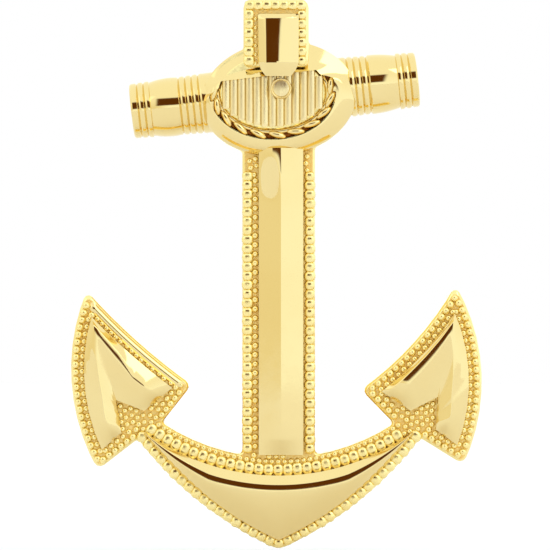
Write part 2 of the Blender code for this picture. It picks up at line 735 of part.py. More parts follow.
def arm_profile(reach):
    """(distance from the shank, radius) from the arm's end inwards: end band, ribs, barrel and ribs."""
    root = ROPE_HALF_HEIGHT
    taper = (STOCK_ROOT_RADIUS - STOCK_END_RADIUS) / (reach - root)

    def at(distance, cut=0.0):
        return distance, STOCK_END_RADIUS + taper * (reach - distance) - cut

    profile = [at(reach, EDGE_SOFTENING), at(reach - EDGE_SOFTENING)]
    distance = reach - STOCK_END_BAND
    for ribs, plain in ((STOCK_END_RIBS, STOCK_BARREL), (STOCK_ROOT_RIBS, 0)):
        for _ in range(ribs):
            profile += [
                at(distance),
                at(distance - STOCK_GROOVE_WIDTH / 2, STOCK_GROOVE_DEPTH),
                at(distance - STOCK_GROOVE_WIDTH),
            ]
            distance -= STOCK_RIB_PITCH
        profile.append(at(distance))
        distance -= plain
    profile.append(at(root))
    return profile


def slab(name, low, high, shallow, deep, look=None):
    """A box between two opposite corners of the front view and two depths."""
    corners = [low, (low[0], high[1]), high, (high[0], low[1])]
    return stack(name, [[place(corner, depth) for corner in corners] for depth in (shallow, deep)], look)


def crossing_block(name, grown, shallow, deep):
    """The crossing's outline, a clearance larger, between two depths."""
    rings = [
        ellipse_ring(CROSSING, BOSS_HALF_WIDTH + grown, BOSS_HALF_HEIGHT + grown, depth, STOCK_TILT)
        for depth in (shallow, deep)
    ]
    return stack(name, rings)


def make_arm(side, name, look):
    """A turned arm, flat at the back, that seats on the crossing's side wall."""
    profile = arm_profile(STOCK_REACH[side])
    arm = stack(name, [stock_ring(side * distance, radius) for distance, radius in profile], look)
    seat = crossing_block(f"{name}_seat", CLEARANCE, BEHIND_LEVEL, IN_FRONT_LEVEL)
    combine(arm, "DIFFERENCE", seat)
    far = STOCK_REACH[side] + SHELL_DEPTH
    back = slab(f"{name}_back", (-far, CROSSING.y - far), (far, CROSSING.y + far), BEHIND_LEVEL, 0)
    combine(arm, "DIFFERENCE", back)
    inner = TIE_ROD_RADIUS + CLEARANCE
    bore_end = BOSS_HALF_WIDTH + TIE_ROD_IN_ARM + TIE_ROD_PLAY
    bore = stack(f"{name}_bore", [stock_ring(0, inner), stock_ring(side * bore_end, inner)])
    return combine(arm, "DIFFERENCE", bore)


def make_tie_rod(look, shell):
    reach = BOSS_HALF_WIDTH + TIE_ROD_IN_ARM
    rings = [stock_ring(end * reach, TIE_ROD_RADIUS) for end in (LEFT, RIGHT)]
    rod = stack("stock_tie_rod", rings, look)
    through = BOSS_HALF_WIDTH + WALL
    rings = [stock_ring(end * through, TIE_ROD_RADIUS + CLEARANCE) for end in (LEFT, RIGHT)]
    combine(shell, "DIFFERENCE", stack("tie_rod_bores", rings))
    return rod


# ---------------------------------------------------------------- the head


def make_head_frame(look):
    """A plate on the head whose lower end is a tongue over the crossing."""
    middle = HEAD_SHIFT
    half = HEAD_WIDTH / 2
    low = TOP - HEAD_FRAME_LENGTH
    corners = [
        (Vector((middle + half, TOP)), HEAD_CORNER),
        (Vector((middle + half, low)), HEAD_FILLET),
        (Vector((middle - half, low)), HEAD_FILLET),
        (Vector((middle - half, TOP)), HEAD_CORNER),
    ]
    outline = polygon(corners)
    rings = [
        level(outline, 0, APPLIED_LEVEL),
        level(outline, 0, TONGUE_LEVEL - EDGE_SOFTENING),
        level(outline, EDGE_SOFTENING, TONGUE_LEVEL),
    ]
    frame = stack("head_frame", rings, look)
    notch = crossing_block("head_frame_notch", CLEARANCE, 0, CROSSING_TOP_LEVEL)
    return combine(frame, "DIFFERENCE", notch)


def make_head_bar(look):
    half = HEAD_BAR_WIDTH / 2
    high = TOP - HEAD_BAR_TOP_LAND
    low = high - HEAD_BAR_LENGTH
    base = TONGUE_LEVEL + CLEARANCE
    sink = base - CROSSING_TOP_LEVEL - CLEARANCE
    wall = HEAD_BAR_WALL + sink
    stations = [(high, 0), (high - HEAD_BAR_HIP, 1), (low + HEAD_BAR_FOOT, 1), (low, 0)]
    rings = []
    for height, share in stations:
        first = Vector((HEAD_BAR_SHIFT - half, height))
        second = Vector((HEAD_BAR_SHIFT + half, height))
        rise = HEAD_BAR_RISE * share
        rings.append(ridged_section(first, second, base - sink, wall, rise, MIDDLE, False))
    bar = stack("head_bar", rings, look)
    edge = TOP - HEAD_FRAME_LENGTH - CLEARANCE
    notch = slab("head_bar_notch", (-HEAD_WIDTH, edge), (HEAD_WIDTH, TOP + HEAD_WIDTH), 0, base)
    combine(bar, "DIFFERENCE", notch)
    room = post("head_bar_stud_room", STUD_CENTRE, STUD_RADIUS + CLEARANCE, 0, IN_FRONT_LEVEL)
    return combine(bar, "DIFFERENCE", room), base


# ---------------------------------------------------------------- the sewing loop


def make_collet(look):
    """A flanged tube through the back plate: flange behind it, turned-over end in front of it."""
    bore = LOOP_STEM_RADIUS + CLEARANCE
    sections = [
        (bore, -COLLET_FLANGE),
        (COLLET_FLANGE_RADIUS - EDGE_SOFTENING, -COLLET_FLANGE),
        (COLLET_FLANGE_RADIUS, EDGE_SOFTENING - COLLET_FLANGE),
        (COLLET_FLANGE_RADIUS, PLATE_RECESS - CLEARANCE),
        (COLLET_RADIUS, PLATE_RECESS - CLEARANCE),
        (COLLET_RADIUS, PLATE_FRONT_LEVEL + COLLET_PROUD),
        (bore, PLATE_FRONT_LEVEL + COLLET_PROUD),
    ]
    rings = [round_ring(EYE_BACK, radius, depth) for radius, depth in sections]
    return stack("loop_collet", rings, look, endless=True)


def make_sewing_loop(look, washer_front):
    """A wire eye, upright, with a stem that turns in the collet and is upset over the washer."""
    middle = EYE_RADIUS + WIRE_RADIUS
    rings = []
    for step in range(EYE_FACETS):
        angle = 2 * pi * step / EYE_FACETS
        ring = []
        for facet in range(PEG_FACETS):
            around = 2 * pi * facet / PEG_FACETS
            reach = middle + WIRE_RADIUS * cos(around)
            ring.append(Vector((WIRE_RADIUS * sin(around), reach * cos(angle), reach * sin(angle))))
        rings.append(ring)
    loop = stack("sewing_loop", rings, look, endless=True)
    start = middle - EYE_STANDOFF
    head = washer_front + CLEARANCE
    sections = [
        (LOOP_STEM_START_RADIUS, start),
        (LOOP_STEM_RADIUS, start + WIRE_RADIUS),
        (LOOP_STEM_RADIUS, head),
        (STEM_HEAD_RADIUS, head),
        (STEM_HEAD_RADIUS - EDGE_SOFTENING, head + STEM_HEAD_THICKNESS),
    ]
    rings = [round_ring(EYE_BACK, radius, depth) for radius, depth in sections]
    return combine(loop, "UNION", stack("sewing_loop_stem", rings))


def make_washer(look, back, front):
    """A washer inside the shell that the loop's upset end bears on."""
    bore = LOOP_STEM_RADIUS + CLEARANCE
    sections = [(bore, back), (WASHER_RADIUS, back), (WASHER_RADIUS, front), (bore, front)]
    rings = [round_ring(EYE_BACK, radius, depth) for radius, depth in sections]
    return stack("loop_washer", rings, look, endless=True)


# ---------------------------------------------------------------- the whole button


def clear_scene():
    for old in list(bpy.data.objects):
        bpy.data.objects.remove(old)


def make_button():
    polished = material("polished_gold", (0.86, 0.68, 0.32), 0.08)
    struck = material("struck_gold", (0.80, 0.60, 0.24), 0.25)
    satin = material("satin_gold", (0.83, 0.66, 0.34), 0.35)
    wire = material("gilt_wire", (0.82, 0.63, 0.28), 0.18)
    plain = material("raw_brass", (0.62, 0.48, 0.25), 0.4)

    shell = make_shell(struck)
    make_back_plate(satin)
    make_arm(LEFT, "stock_arm_left", polished)
    make_arm(RIGHT, "stock_arm_right", polished)
    make_tie_rod(plain, shell)

    boss = make_ring_boss(polished)
    beside = turned((BOSS_HALF_WIDTH - BOSS_PEG_SIDE_INSET, 0), STOCK_TILT)
    below = Vector((0, BOSS_PEG_LOW_INSET - BOSS_HALF_HEIGHT))
    for from_crossing in (beside, below):
        peg(boss, [shell], CROSSING + from_crossing, APPLIED_LEVEL)
    disc = make_disc(satin)
    make_rope(struck)
    make_stud(polished, [shell, disc])

    frame = make_head_frame(struck)
    head_bar, head_bar_base = make_head_bar(polished)
    peg(head_bar, [frame, shell], Vector((HEAD_BAR_SHIFT, TOP - HEAD_PEG_BELOW_TOP)), head_bar_base)

    shank_bar, low = make_shank_bar(polished)
    lowest_of_boss = CROSSING.y - BOSS_HALF_HEIGHT
    for height in (lowest_of_boss - SHANK_PEG_END_DISTANCE, low + SHANK_PEG_END_DISTANCE):
        peg(shank_bar, [shell], Vector((SHANK_BAR_SHIFT, height)), APPLIED_LEVEL)

    crescent = make_crescent(polished)
    inner_edge = INNER_ARC_CENTRE.y - CROWN_INNER_RADIUS - CRESCENT_INNER_LAND
    peg_height = inner_edge - CRESCENT_PEG_DROP
    for side, name in ((LEFT, "fluke_palm_left"), (RIGHT, "fluke_palm_right")):
        peg(crescent, [shell], Vector((side * CRESCENT_PEG_REACH, peg_height)), APPLIED_LEVEL)
        palm = make_palm(side, name, polished)
        fork, tip = fluke_point(side, PALM_FORK), fluke_point(side, FLUKE_TIP)
        peg(palm, [shell], fork.lerp(tip, PALM_PEG_SHARE), APPLIED_LEVEL)

    make_collet(wire)
    washer_back = PLATE_FRONT_LEVEL + COLLET_PROUD + CLEARANCE
    washer_front = washer_back + WASHER_THICKNESS
    make_washer(plain, washer_back, washer_front)
    make_sewing_loop(wire, washer_front)


clear_scene()
make_button()
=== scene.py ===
"""Looks of the sew-on anchor button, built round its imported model."""

import json
from itertools import groupby
from math import acos, asin, atan2, cos, hypot, pi, radians, sin, sqrt

import bmesh
import bpy
import numpy as np
from bpy.props import FloatProperty, FloatVectorProperty, IntProperty, PointerProperty
from mathutils import Matrix, Vector
from mathutils.bvhtree import BVHTree

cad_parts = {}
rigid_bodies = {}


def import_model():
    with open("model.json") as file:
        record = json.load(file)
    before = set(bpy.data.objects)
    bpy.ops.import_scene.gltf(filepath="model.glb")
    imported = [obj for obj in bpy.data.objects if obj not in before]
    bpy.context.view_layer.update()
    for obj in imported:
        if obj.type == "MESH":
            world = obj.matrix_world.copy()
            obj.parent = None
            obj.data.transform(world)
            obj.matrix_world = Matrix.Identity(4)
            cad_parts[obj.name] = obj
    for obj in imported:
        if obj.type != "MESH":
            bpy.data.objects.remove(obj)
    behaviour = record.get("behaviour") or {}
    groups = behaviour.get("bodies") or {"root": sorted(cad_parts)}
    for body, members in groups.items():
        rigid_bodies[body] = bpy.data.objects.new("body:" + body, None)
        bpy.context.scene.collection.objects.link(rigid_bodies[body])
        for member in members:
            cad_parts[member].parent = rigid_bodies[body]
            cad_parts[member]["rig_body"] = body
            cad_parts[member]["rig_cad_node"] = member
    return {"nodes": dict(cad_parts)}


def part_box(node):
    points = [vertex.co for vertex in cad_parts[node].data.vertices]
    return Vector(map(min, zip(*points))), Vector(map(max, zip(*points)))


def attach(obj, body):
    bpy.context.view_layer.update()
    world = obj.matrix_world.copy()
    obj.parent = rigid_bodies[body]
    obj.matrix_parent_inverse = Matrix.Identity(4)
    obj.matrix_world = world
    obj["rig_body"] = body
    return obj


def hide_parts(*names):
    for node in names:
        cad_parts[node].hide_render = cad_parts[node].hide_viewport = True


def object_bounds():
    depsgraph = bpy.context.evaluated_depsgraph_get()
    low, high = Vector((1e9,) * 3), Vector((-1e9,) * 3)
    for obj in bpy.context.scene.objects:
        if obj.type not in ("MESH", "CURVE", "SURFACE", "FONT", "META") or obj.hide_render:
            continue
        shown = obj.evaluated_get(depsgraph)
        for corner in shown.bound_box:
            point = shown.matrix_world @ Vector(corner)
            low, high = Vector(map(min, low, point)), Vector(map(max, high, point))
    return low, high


bl_info = {
    "name": "Anchor Button",
    "version": (1, 0, 0),
    "blender": (4, 5, 0),
    "location": "View3D > Sidebar > Button",
    "description": "Builds the looks of a sew-on anchor button round its packed model",
    "category": "Object",
}

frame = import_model()
CAD_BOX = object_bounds()
MM = 0.001
MERGE = 0.002 * MM
BODY = "button"
LOOP_BODY = "sewing_loop"
LAND_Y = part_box("anchor_shell")[0].y
BACK_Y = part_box("anchor_shell")[1].y
BASE_Y = LAND_Y - 0.05 * MM
BASE_DEPTH = BACK_Y - BASE_Y
LEFT, RIGHT = -1, 1
CLEARANCE = 0.05 * MM

# The crown's arcs
CROWN_POINT = -22.0 * MM
THROAT_RADIUS = 13.85 * MM
THROAT_CENTRE = (0.0, CROWN_POINT + 6.0 * MM + THROAT_RADIUS)
THROAT_TOP = -9.0 * MM
THROAT_REACH = 8.0 * MM
KEEL_RADIUS = 23.6 * MM
KEEL_OFFSET = 9.5 * MM
KEEL_CENTRE_Z = CROWN_POINT + sqrt(KEEL_RADIUS**2 - KEEL_OFFSET**2)
KEEL_REACH = 9.3 * MM
SHANK_HALF = 2.375 * MM
LEFT_HOLLOW = ((-12.75 * MM, -5.39 * MM), (-6.0 * MM, -11.15 * MM))

# The crossing and the stock
CROSSING = (0.0, 7.55 * MM)
STOCK_TILT = radians(6.4)
BOSS_HALF_WIDTH, BOSS_HALF_HEIGHT = 5.08 * MM, 3.75 * MM
ROPE_CENTRE = (-0.4 * MM, 7.92 * MM)
ROPE_HALF_WIDTH, ROPE_HALF_HEIGHT = 4.1 * MM, 3.05 * MM
ROPE_WIDTH = 0.6 * MM
ROPE_DEPTH = BASE_DEPTH + 0.3 * MM
STUD_CENTRE = (0.16 * MM, 8.17 * MM)
STOCK_CENTRE = (0.0, 7.87 * MM)
STOCK_DEPTH = 1.7 * MM
STOCK_RIB_PITCH = 0.43 * MM
SEAT_DEPTH = 1.2 * MM
FLAT_LEAST = 0.3
BARREL_CROWN = (0.06 * MM, 0.4 * MM, 0.6)
BARREL_FLARE = (0.05 * MM, 0.26 * MM, 0.8)
RIB_SECTION = ((0.0, 0.0), (0.08, 0.03), (0.2, 0.09), (0.32, 0.03), (0.44, 0.0), (0.7, -0.02))
ROPE_COVER, ROPE_COVER_FROM, ROPE_COVER_LEAN = 0.62 * MM, 0.12, radians(11)
ROPE_SLANT = radians(-18)
CREST_LOW, CREST_SLOPE = 9.05 * MM, 0.12
DISC_RIM = 0.16 * MM
RING_STEPS, TURN_STEPS = 128, 48
PALM_STEPS = 40
BROW_RISE, BROW_TURN = 0.12, radians(50)
PALM_WAY = (0.0, 0.45, 0.65, 0.95)
LEFT_PALM = (0.44, 0.44, 0.36, 0.24), (0.1, 0.1, 0.5, 0.62)
RIGHT_PALM = (0.36, 0.32, 0.3, 0.24), (0.66, 0.68, 0.66, 0.6)
FULL_BROW = 0.5
LOWER_CREST, LOWER_BROW = 0.56, 0.2

# The sewing eye
EYE_RADIUS, WIRE_RADIUS = 1.35 * MM, 0.55 * MM

# Borders: rows of (distance from the edge, radius, pitch, whether its beads are cushions), in millimetres
EDGE_INSET = 0.15 * MM
EDGE_STEP = 0.06 * MM
EDGE_BAND = 0.2 * MM
UNEVENNESS = (0.92, 1.08)
FILLER_STEP = 0.15 * MM
FILLER_RADIUS = 0.2 * MM
FILLER_FROM_EDGE = 0.26 * MM
STRIP_WIDTH, STRIP_RISE = 0.62 * MM, 0.2 * MM
BORDER_ROWS = {
    "shank": ((0.34, 0.30, 0.6, True), (0.84, 0.23, 0.6, False)),
    "throat": ((0.22, 0.20, 0.42, False), (0.76, 0.37, 0.64, True)),
    "keel": ((0.36, 0.32, 0.66, True),),
    "right_fluke": ((0.36, 0.26, 0.5, False), (0.76, 0.22, 0.5, False)),
    "left_fluke": ((0.32, 0.26, 0.5, False), (0.72, 0.22, 0.5, False)),
    "left_hollow": ((0.84, 0.25, 0.56, False),),
}
KEEL_SLANT = radians(22)

# Finishes: a colour of the panel or its own, how far its clouds deepen or their colour, roughness
# (None is the panel's polish), and the grain's scale, lift, stretch and strength
EVEN = (1, 1, 1)
FINISHES = {
    "gold_mirror": ("polished", 0.25, None, 900.0, 0.01 * MM, EVEN, 0.12),
    "gold_bead": ("struck", 0.5, 0.24, 3000.0, 0.02 * MM, EVEN, 0.25),
    # The matt ground between the beads, its deeper orange colour painted shade of the crevices
    "gold_ground": ("crevice", 0.8, 0.5, 5000.0, 0.03 * MM, EVEN, 0.5),
    # Painted shade: a dark brown for the cord under the rope, so the gaps between its strands look shaded
    "gold_gap": ((0.30, 0.10, 0.02), (0.16, 0.05, 0.005), 0.5, 5000.0, 0.03 * MM, EVEN, 0.5),
    "gold_side": ("struck", 0.4, 0.14, 2200.0, 0.02 * MM, (1, 0.15, 1), 0.2),
    "gold_satin": ("satin", 0.4, 0.3, 4000.0, 0.02 * MM, (1, 1, 0.08), 0.3),
    "gold_back": ("satin", 0.5, 0.26, 3500.0, 0.03 * MM, (0.2, 1, 1), 0.35),
    "gilt_wire": ("polished", 0.4, 0.12, 3000.0, 0.02 * MM, (0.2, 1, 1), 0.2),
    "raw_brass": ((0.72, 0.55, 0.28), (0.45, 0.30, 0.12), 0.35, 3000.0, 0.03 * MM, EVEN, 0.4),
}

# The stage
SENSOR = 36.0
VIEW_WIDTH = 36.03 * MM
VIEW_CENTRE = (-0.24 * MM, -4.0 * MM)
FLOOR_RADIUS = 0.4
FLOOR_GAP = 0.8 * MM
TENT_WHITE = (1.24, 1.40, 1.58)
TENT_TOP = (1.16, 1.22, 1.20)
TENT_WARM = (0.92, 0.84, 0.54)
TENT_DARK = (0.12, 0.04, 0.005)
LAMPS = (
    ("key_light", (0.35, -0.35, 0.45), 0.3, 0.35),
    ("fill_light", (-0.5, -0.3, 0.3), 0.4, 0.12),
)


# ---- values a user would change


def gold_colour(name, description, default):
    return FloatVectorProperty(
        name=name, description=description, default=default, subtype="COLOR", size=3, min=0, max=1)


class ButtonFinish(bpy.types.PropertyGroup):
    polished: gold_colour("Polished gold", "Colour of the mirror-polished pieces", (0.84, 0.66, 0.30))
    struck: gold_colour("Struck gold", "Colour of the beaded borders", (0.95, 0.78, 0.34))
    # The crevices' colour is painted shade: a deeper orange than the struck beads for the ground between them
    crevice: gold_colour("Crevices", "Colour of the ground between the beads", (0.94, 0.68, 0.24))
    satin: gold_colour("Satin gold", "Colour of the ribbed disc and the back", (0.88, 0.72, 0.38))
    polish: FloatProperty(
        name="Polish", description="Roughness of the polished pieces", default=0.06, min=0, max=1, subtype="FACTOR",
    )


class ButtonSizes(bpy.types.PropertyGroup):
    bead_size: FloatProperty(
        name="Bead size", description="How large the border's beads are beside their planned size",
        default=1.0, min=0.5, max=1.1, subtype="FACTOR",
    )
    bead_spacing: FloatProperty(
        name="Bead spacing", description="How far apart the border's beads are beside the planned distance",
        default=1.0, min=0.8, max=2.0, subtype="FACTOR",
    )
    ribs: IntProperty(name="Disc ribs", description="Upright ribs across the disc", default=13, min=3, max=40)
    rope_lays: IntProperty(name="Rope lays", description="Strand crossings round the rope", default=19, min=6, max=60)
    camera_distance: FloatProperty(
        name="Camera distance", description="From the button's face to the camera", default=0.25, unit="LENGTH",
    )


# ---- node trees


class Value:
    """A shader socket that can be multiplied, taken from a number and banded."""

    def __init__(self, tree, socket):
        self.tree, self.socket = tree, socket

    def _math(self, operation, *values):
        node = self.tree.node("ShaderNodeMath", dict(enumerate(values)), operation=operation)
        return Value(self.tree, node.outputs[0])

    def __rsub__(self, other):
        return self._math("SUBTRACT", other, self)

    def __mul__(self, other):
        return self._math("MULTIPLY", self, other)

    def between(self, low, high, soft):
        """1 inside a band and 0 outside it, with soft edges."""
        return self.above(low, soft) * (1 - self.above(high, soft))

    def above(self, edge, soft):
        return self.spread(edge - soft, edge + soft, 0.0, 1.0)

    def spread(self, low, high, to_low, to_high):
        ends = {"Value": self, "From Min": low, "From Max": high, "To Min": to_low, "To Max": to_high}
        node = self.tree.node("ShaderNodeMapRange", ends, interpolation_type="SMOOTHSTEP")
        return Value(self.tree, node.outputs["Result"])


class Nodes:
    """Adds nodes to one tree."""

    def __init__(self, owner):
        owner.use_nodes = True
        self.tree = owner.node_tree
        self.tree.nodes.clear()

    def node(self, kind, values=None, **settings):
        made = self.tree.nodes.new(kind)
        for name, setting in settings.items():
            setattr(made, name, setting)
        for name, value in (values or {}).items():
            self.put(made.inputs[name], value)
        return made

    def put(self, socket, value):
        if isinstance(value, Value):
            value = value.socket
        if isinstance(value, bpy.types.NodeSocket):
            self.tree.links.new(value, socket)
        elif isinstance(value, tuple) and len(value) == 3 and socket.type == "RGBA":
            socket.default_value = (*value, 1)
        else:
            socket.default_value = value

    def place(self):
        return self.node("ShaderNodeTexCoord").outputs["Object"]

    def noise(self, scale, detail=3.0, stretch=(1, 1, 1), roughness=0.5):
        where = self.node("ShaderNodeMapping", {"Vector": self.place(), "Scale": stretch})
        made = self.node(
            "ShaderNodeTexNoise",
            {"Vector": where.outputs[0], "Scale": scale, "Detail": detail, "Roughness": roughness},
        )
        return Value(self, made.outputs["Fac"])

    def mix(self, share, first, second):
        return self.node("ShaderNodeMix", {0: share, 6: first, 7: second}, data_type="RGBA").outputs[2]

    def bump(self, height, distance, strength):
        made = self.node("ShaderNodeBump", {"Height": height, "Distance": distance, "Strength": strength})
        return made.outputs[0]


def gold(name, colour, deep, roughness, grain, lift, stretch, strength):
    """A gold finish: its colour deepens in soft clouds, and its polish and its surface waver."""
    look = bpy.data.materials.new(name)
    nodes = Nodes(look)
    clouds = nodes.noise(220.0, 4.0)
    fine = nodes.noise(grain, 3.0, stretch)
    wear = clouds.spread(0.35, 0.7, 0.0, 0.35)
    surface = nodes.node("ShaderNodeBsdfPrincipled", {
        "Base Color": nodes.mix(wear, colour, deep),
        "Metallic": 1.0,
        "Roughness": fine.spread(0.3, 0.7, roughness * 0.7, roughness * 1.5),
        "Normal": nodes.bump(fine, lift, strength),
    })
    nodes.node("ShaderNodeOutputMaterial", {"Surface": surface.outputs[0]})
    look.diffuse_color = (*colour, 1)
    return look


def deeper(colour, share):
    """The colour as a second reflection in the same metal gives it."""
    return tuple(channel * (1 - share + share * channel) for channel in colour)


def look_of(name):
    """One of the button's finishes, made when it is first asked for."""
    if name in bpy.data.materials:
        return bpy.data.materials[name]
    finish = bpy.context.scene.button_finish
    colour, deep, roughness, *surface = FINISHES[name]
    if isinstance(colour, str):
        colour = tuple(getattr(finish, colour))
        deep = deeper(colour, deep)
    if roughness is None:
        roughness = finish.polish
    return gold(name, colour, deep, roughness, *surface)


# ---- modelling helpers


def activate(piece):
    bpy.ops.object.select_all(action="DESELECT")
    piece.select_set(True)
    bpy.context.view_layer.objects.active = piece


def edit(piece, *steps):
    """Runs edit-mode steps on a whole piece, each an operator and its settings."""
    activate(piece)
    bpy.ops.object.mode_set(mode="EDIT")
    bpy.ops.mesh.select_all(action="SELECT")
    for operator, settings in steps:
        operator(**settings)
    bpy.ops.object.mode_set(mode="OBJECT")


def apply_modifier(piece, kind, **settings):
    activate(piece)
    modifier = piece.modifiers.new(kind.title(), kind)
    for name, value in settings.items():
        setattr(modifier, name, value)
    bpy.ops.object.modifier_apply(modifier=modifier.name)


def smooth(piece, angle):
    activate(piece)
    bpy.ops.object.shade_smooth_by_angle(angle=radians(angle))


def settle(piece, look, angle=None, node=None, body=BODY):
    """Smooths a piece, gives it its finish and its body, and hides the node it stands for."""
    if angle:
        smooth(piece, angle)
    activate(piece)
    bpy.ops.object.transform_apply(location=True, rotation=True, scale=True)
    piece.data.materials.clear()
    piece.data.materials.append(look_of(look))
    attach(piece, body)
    if node:
        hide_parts(node)
    return piece


def copy_of(node):
    """A node's shape as a connected mesh that can be worked on."""
    piece = frame["nodes"][node].copy()
    piece.data = piece.data.copy()
    bpy.context.scene.collection.objects.link(piece)
    piece.parent = None
    piece.matrix_world = Matrix.Identity(4)
    piece.hide_viewport = piece.hide_render = False
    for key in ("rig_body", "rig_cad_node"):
        del piece[key]
    if piece.data.attributes.get("custom_normal"):
        piece.data.attributes.remove(piece.data.attributes["custom_normal"])
    edit(piece, (bpy.ops.mesh.remove_doubles, {"threshold": MERGE}))
    return piece


def refined(node, name, look, bevel):
    """A node's own shape with rounded edges, standing for the node."""
    piece = copy_of(node)
    quads = {"face_threshold": radians(60), "shape_threshold": radians(60)}
    edit(piece, (bpy.ops.mesh.tris_convert_to_quads, quads))
    apply_modifier(piece, "BEVEL", width=bevel, segments=2, limit_method="ANGLE", angle_limit=radians(28))
    piece.name = piece.data.name = name
    return settle(piece, look, 35, node)


def ground_at(piece, level):
    """Gives a piece's faces at one level the finish of the ground under the beads: a matt ground whose deeper colour
    is painted shade.
    """
    piece.data.materials.append(look_of("gold_ground"))
    for face in piece.data.polygons:
        if abs(face.center.y - level) < MERGE:
            face.material_index = 1


def primitive(operator, **settings):
    """A new simple shape to work on."""
    bpy.ops.object.select_all(action="DESELECT")
    operator(**settings)
    return bpy.context.object


def taken_apart(piece):
    """The points and faces of a scratch piece, which goes."""
    points = np.array([vertex.co[:] for vertex in piece.data.vertices])
    faces = [tuple(face.vertices) for face in piece.data.polygons]
    bpy.data.objects.remove(piece)
    return points, faces


def repeated(name, copies, faces):
    """One piece from copies of a shape: the points of each, and the faces that they share."""
    size = len(copies[0])
    all_faces = [tuple(index + number * size for index in face) for number in range(len(copies)) for face in faces]
    return mesh_piece(name, np.vstack(copies), all_faces)


def mesh_piece(name, points, faces, edges=()):
    mesh = bpy.data.meshes.new(name)
    mesh.from_pydata([tuple(point) for point in points], edges, faces)
    mesh.update()
    piece = bpy.data.objects.new(name, mesh)
    bpy.context.scene.collection.objects.link(piece)
    return piece


# ---- plan curves


def place(x, depth, z):
    """A point of the front view at a depth in front of the back rim."""
    return Vector((x, BACK_Y - depth, z))


def outline_at(node, level):
    """The longest edge loop round a node's flat faces at one level, as (x, z) points in order."""
    piece = copy_of(node)
    shape = bmesh.new()
    shape.from_mesh(piece.data)
    flat = {face for face in shape.faces if all(abs(vertex.co.y - level) < MERGE for vertex in face.verts)}
    following = {}
    for edge in shape.edges:
        if sum(face in flat for face in edge.link_faces) == 1:
            one, two = edge.verts
            following.setdefault(one.index, []).append(two.index)
            following.setdefault(two.index, []).append(one.index)
    places = {vertex.index: (vertex.co.x, vertex.co.z) for vertex in shape.verts}
    shape.free()
    bpy.data.objects.remove(piece)
    loops, seen = [], set()
    for start in following:
        loop, here = [], start
        while here is not None and here not in seen:
            seen.add(here)
            loop.append(places[here])
            here = next((index for index in following[here] if index not in seen), None)
        if len(loop) > 2:
            loops.append(np.array(loop))
    return clockwise(max(loops, key=lambda loop: np.ptp(loop, axis=0).sum()))


def clockwise(loop):
    """The loop clockwise as the face is seen."""
    ahead = np.roll(loop, -1, axis=0)
    area = np.sum(loop[:, 0] * ahead[:, 1] - ahead[:, 0] * loop[:, 1])
    return loop[::-1] if area > 0 else loop


def along(points, step=None, count=None):
    """Evenly spaced points along an open polyline, both ends included."""
    points = np.asarray(points)
    lengths = np.r_[0, np.cumsum(np.linalg.norm(np.diff(points, axis=0), axis=1))]
    count = count or max(2, round(lengths[-1] / step) + 1)
    at = np.linspace(0, lengths[-1], count)
    return np.column_stack([np.interp(at, lengths, points[:, axis]) for axis in (0, 1)])


def corners_of(loop, least):
    """Indexes of a loop's points where it turns by more than an angle."""
    before, after = loop - np.roll(loop, 1, axis=0), np.roll(loop, -1, axis=0) - loop
    cross = before[:, 0] * after[:, 1] - before[:, 1] * after[:, 0]
    turn = np.abs(np.arctan2(cross, np.sum(before * after, axis=1)))
    return [index for index in range(len(loop)) if turn[index] > least]


def ellipse_point(centre, half_width, half_height, angle, tilt=0.0):
    x, z = half_width * cos(angle), half_height * sin(angle)
    return centre[0] + x * cos(tilt) - z * sin(tilt), centre[1] + x * sin(tilt) + z * cos(tilt)


def ellipse_ring(centre, half_width, half_height, count, tilt=0.0):
    """Points round an ellipse, as (x, z)."""
    turns = (2 * pi * step / count for step in range(count))
    return [ellipse_point(centre, half_width, half_height, turn, tilt) for turn in turns]


def loft(name, rings, endless=False):
    """A surface through rings of points that match one to one, closed at its ends."""
    count = len(rings[0])
    last = len(rings) if endless else len(rings) - 1
    faces = []
    for row in range(last):
        one, two = row * count, (row + 1) % len(rings) * count
        faces += [(one + i, one + (i + 1) % count, two + (i + 1) % count, two + i) for i in range(count)]
    if not endless:
        faces += [tuple(range(count)), tuple(range(len(rings) * count - count, len(rings) * count))]
    piece = mesh_piece(name, [point for ring in rings for point in ring], faces)
    edit(piece, (bpy.ops.mesh.remove_doubles, {"threshold": 0.1 * MERGE}),
         (bpy.ops.mesh.normals_make_consistent, {"inside": False}))
    return piece


def part_way(first, second, share, depth):
    """The place a share of the way from one (x, z) to another, at a depth."""
    x, z = first + (second - first) * share
    return place(x, depth, z)


def ridge(first, second, base, wall, rise, crest, bulge=(1.3, 1.6), steps=(10, 16), brow=0.0, lift=0.0,
          brow_rise=BROW_RISE):
    """A closed section from one edge to the other: two low walls, and a ridge that two soft facets meet in.

    A brow is a nearly flat strip before the crest, as a share of the way up to it.  A lift is how much
    of the rise the first wall takes.
    """
    first, second = np.asarray(first), np.asarray(second)
    up = []
    for share in np.linspace(0, 1, steps[0]):
        height = 1 - (1 - share) ** bulge[0]
        if brow and share < 1 - brow:
            height = (1 - brow_rise) * sin(share / (1 - brow) * BROW_TURN) / sin(BROW_TURN)
        elif brow:
            height = 1 - brow_rise * ((1 - share) / brow) ** 2
        up.append((share * crest, lift + (1 - lift) * height))
    down = [(1 - share * (1 - crest), 1 - (1 - share) ** bulge[1]) for share in np.linspace(1, 0, steps[1])[1:]]
    section = [(0, 0), *((share, wall + rise * height) for share, height in up + down), (1, 0)]
    return [part_way(first, second, share, base + height) for share, height in section]


# ---- borders of beads


BEAD_FACETS = 10
CUSHION_ROUNDNESS = 0.8


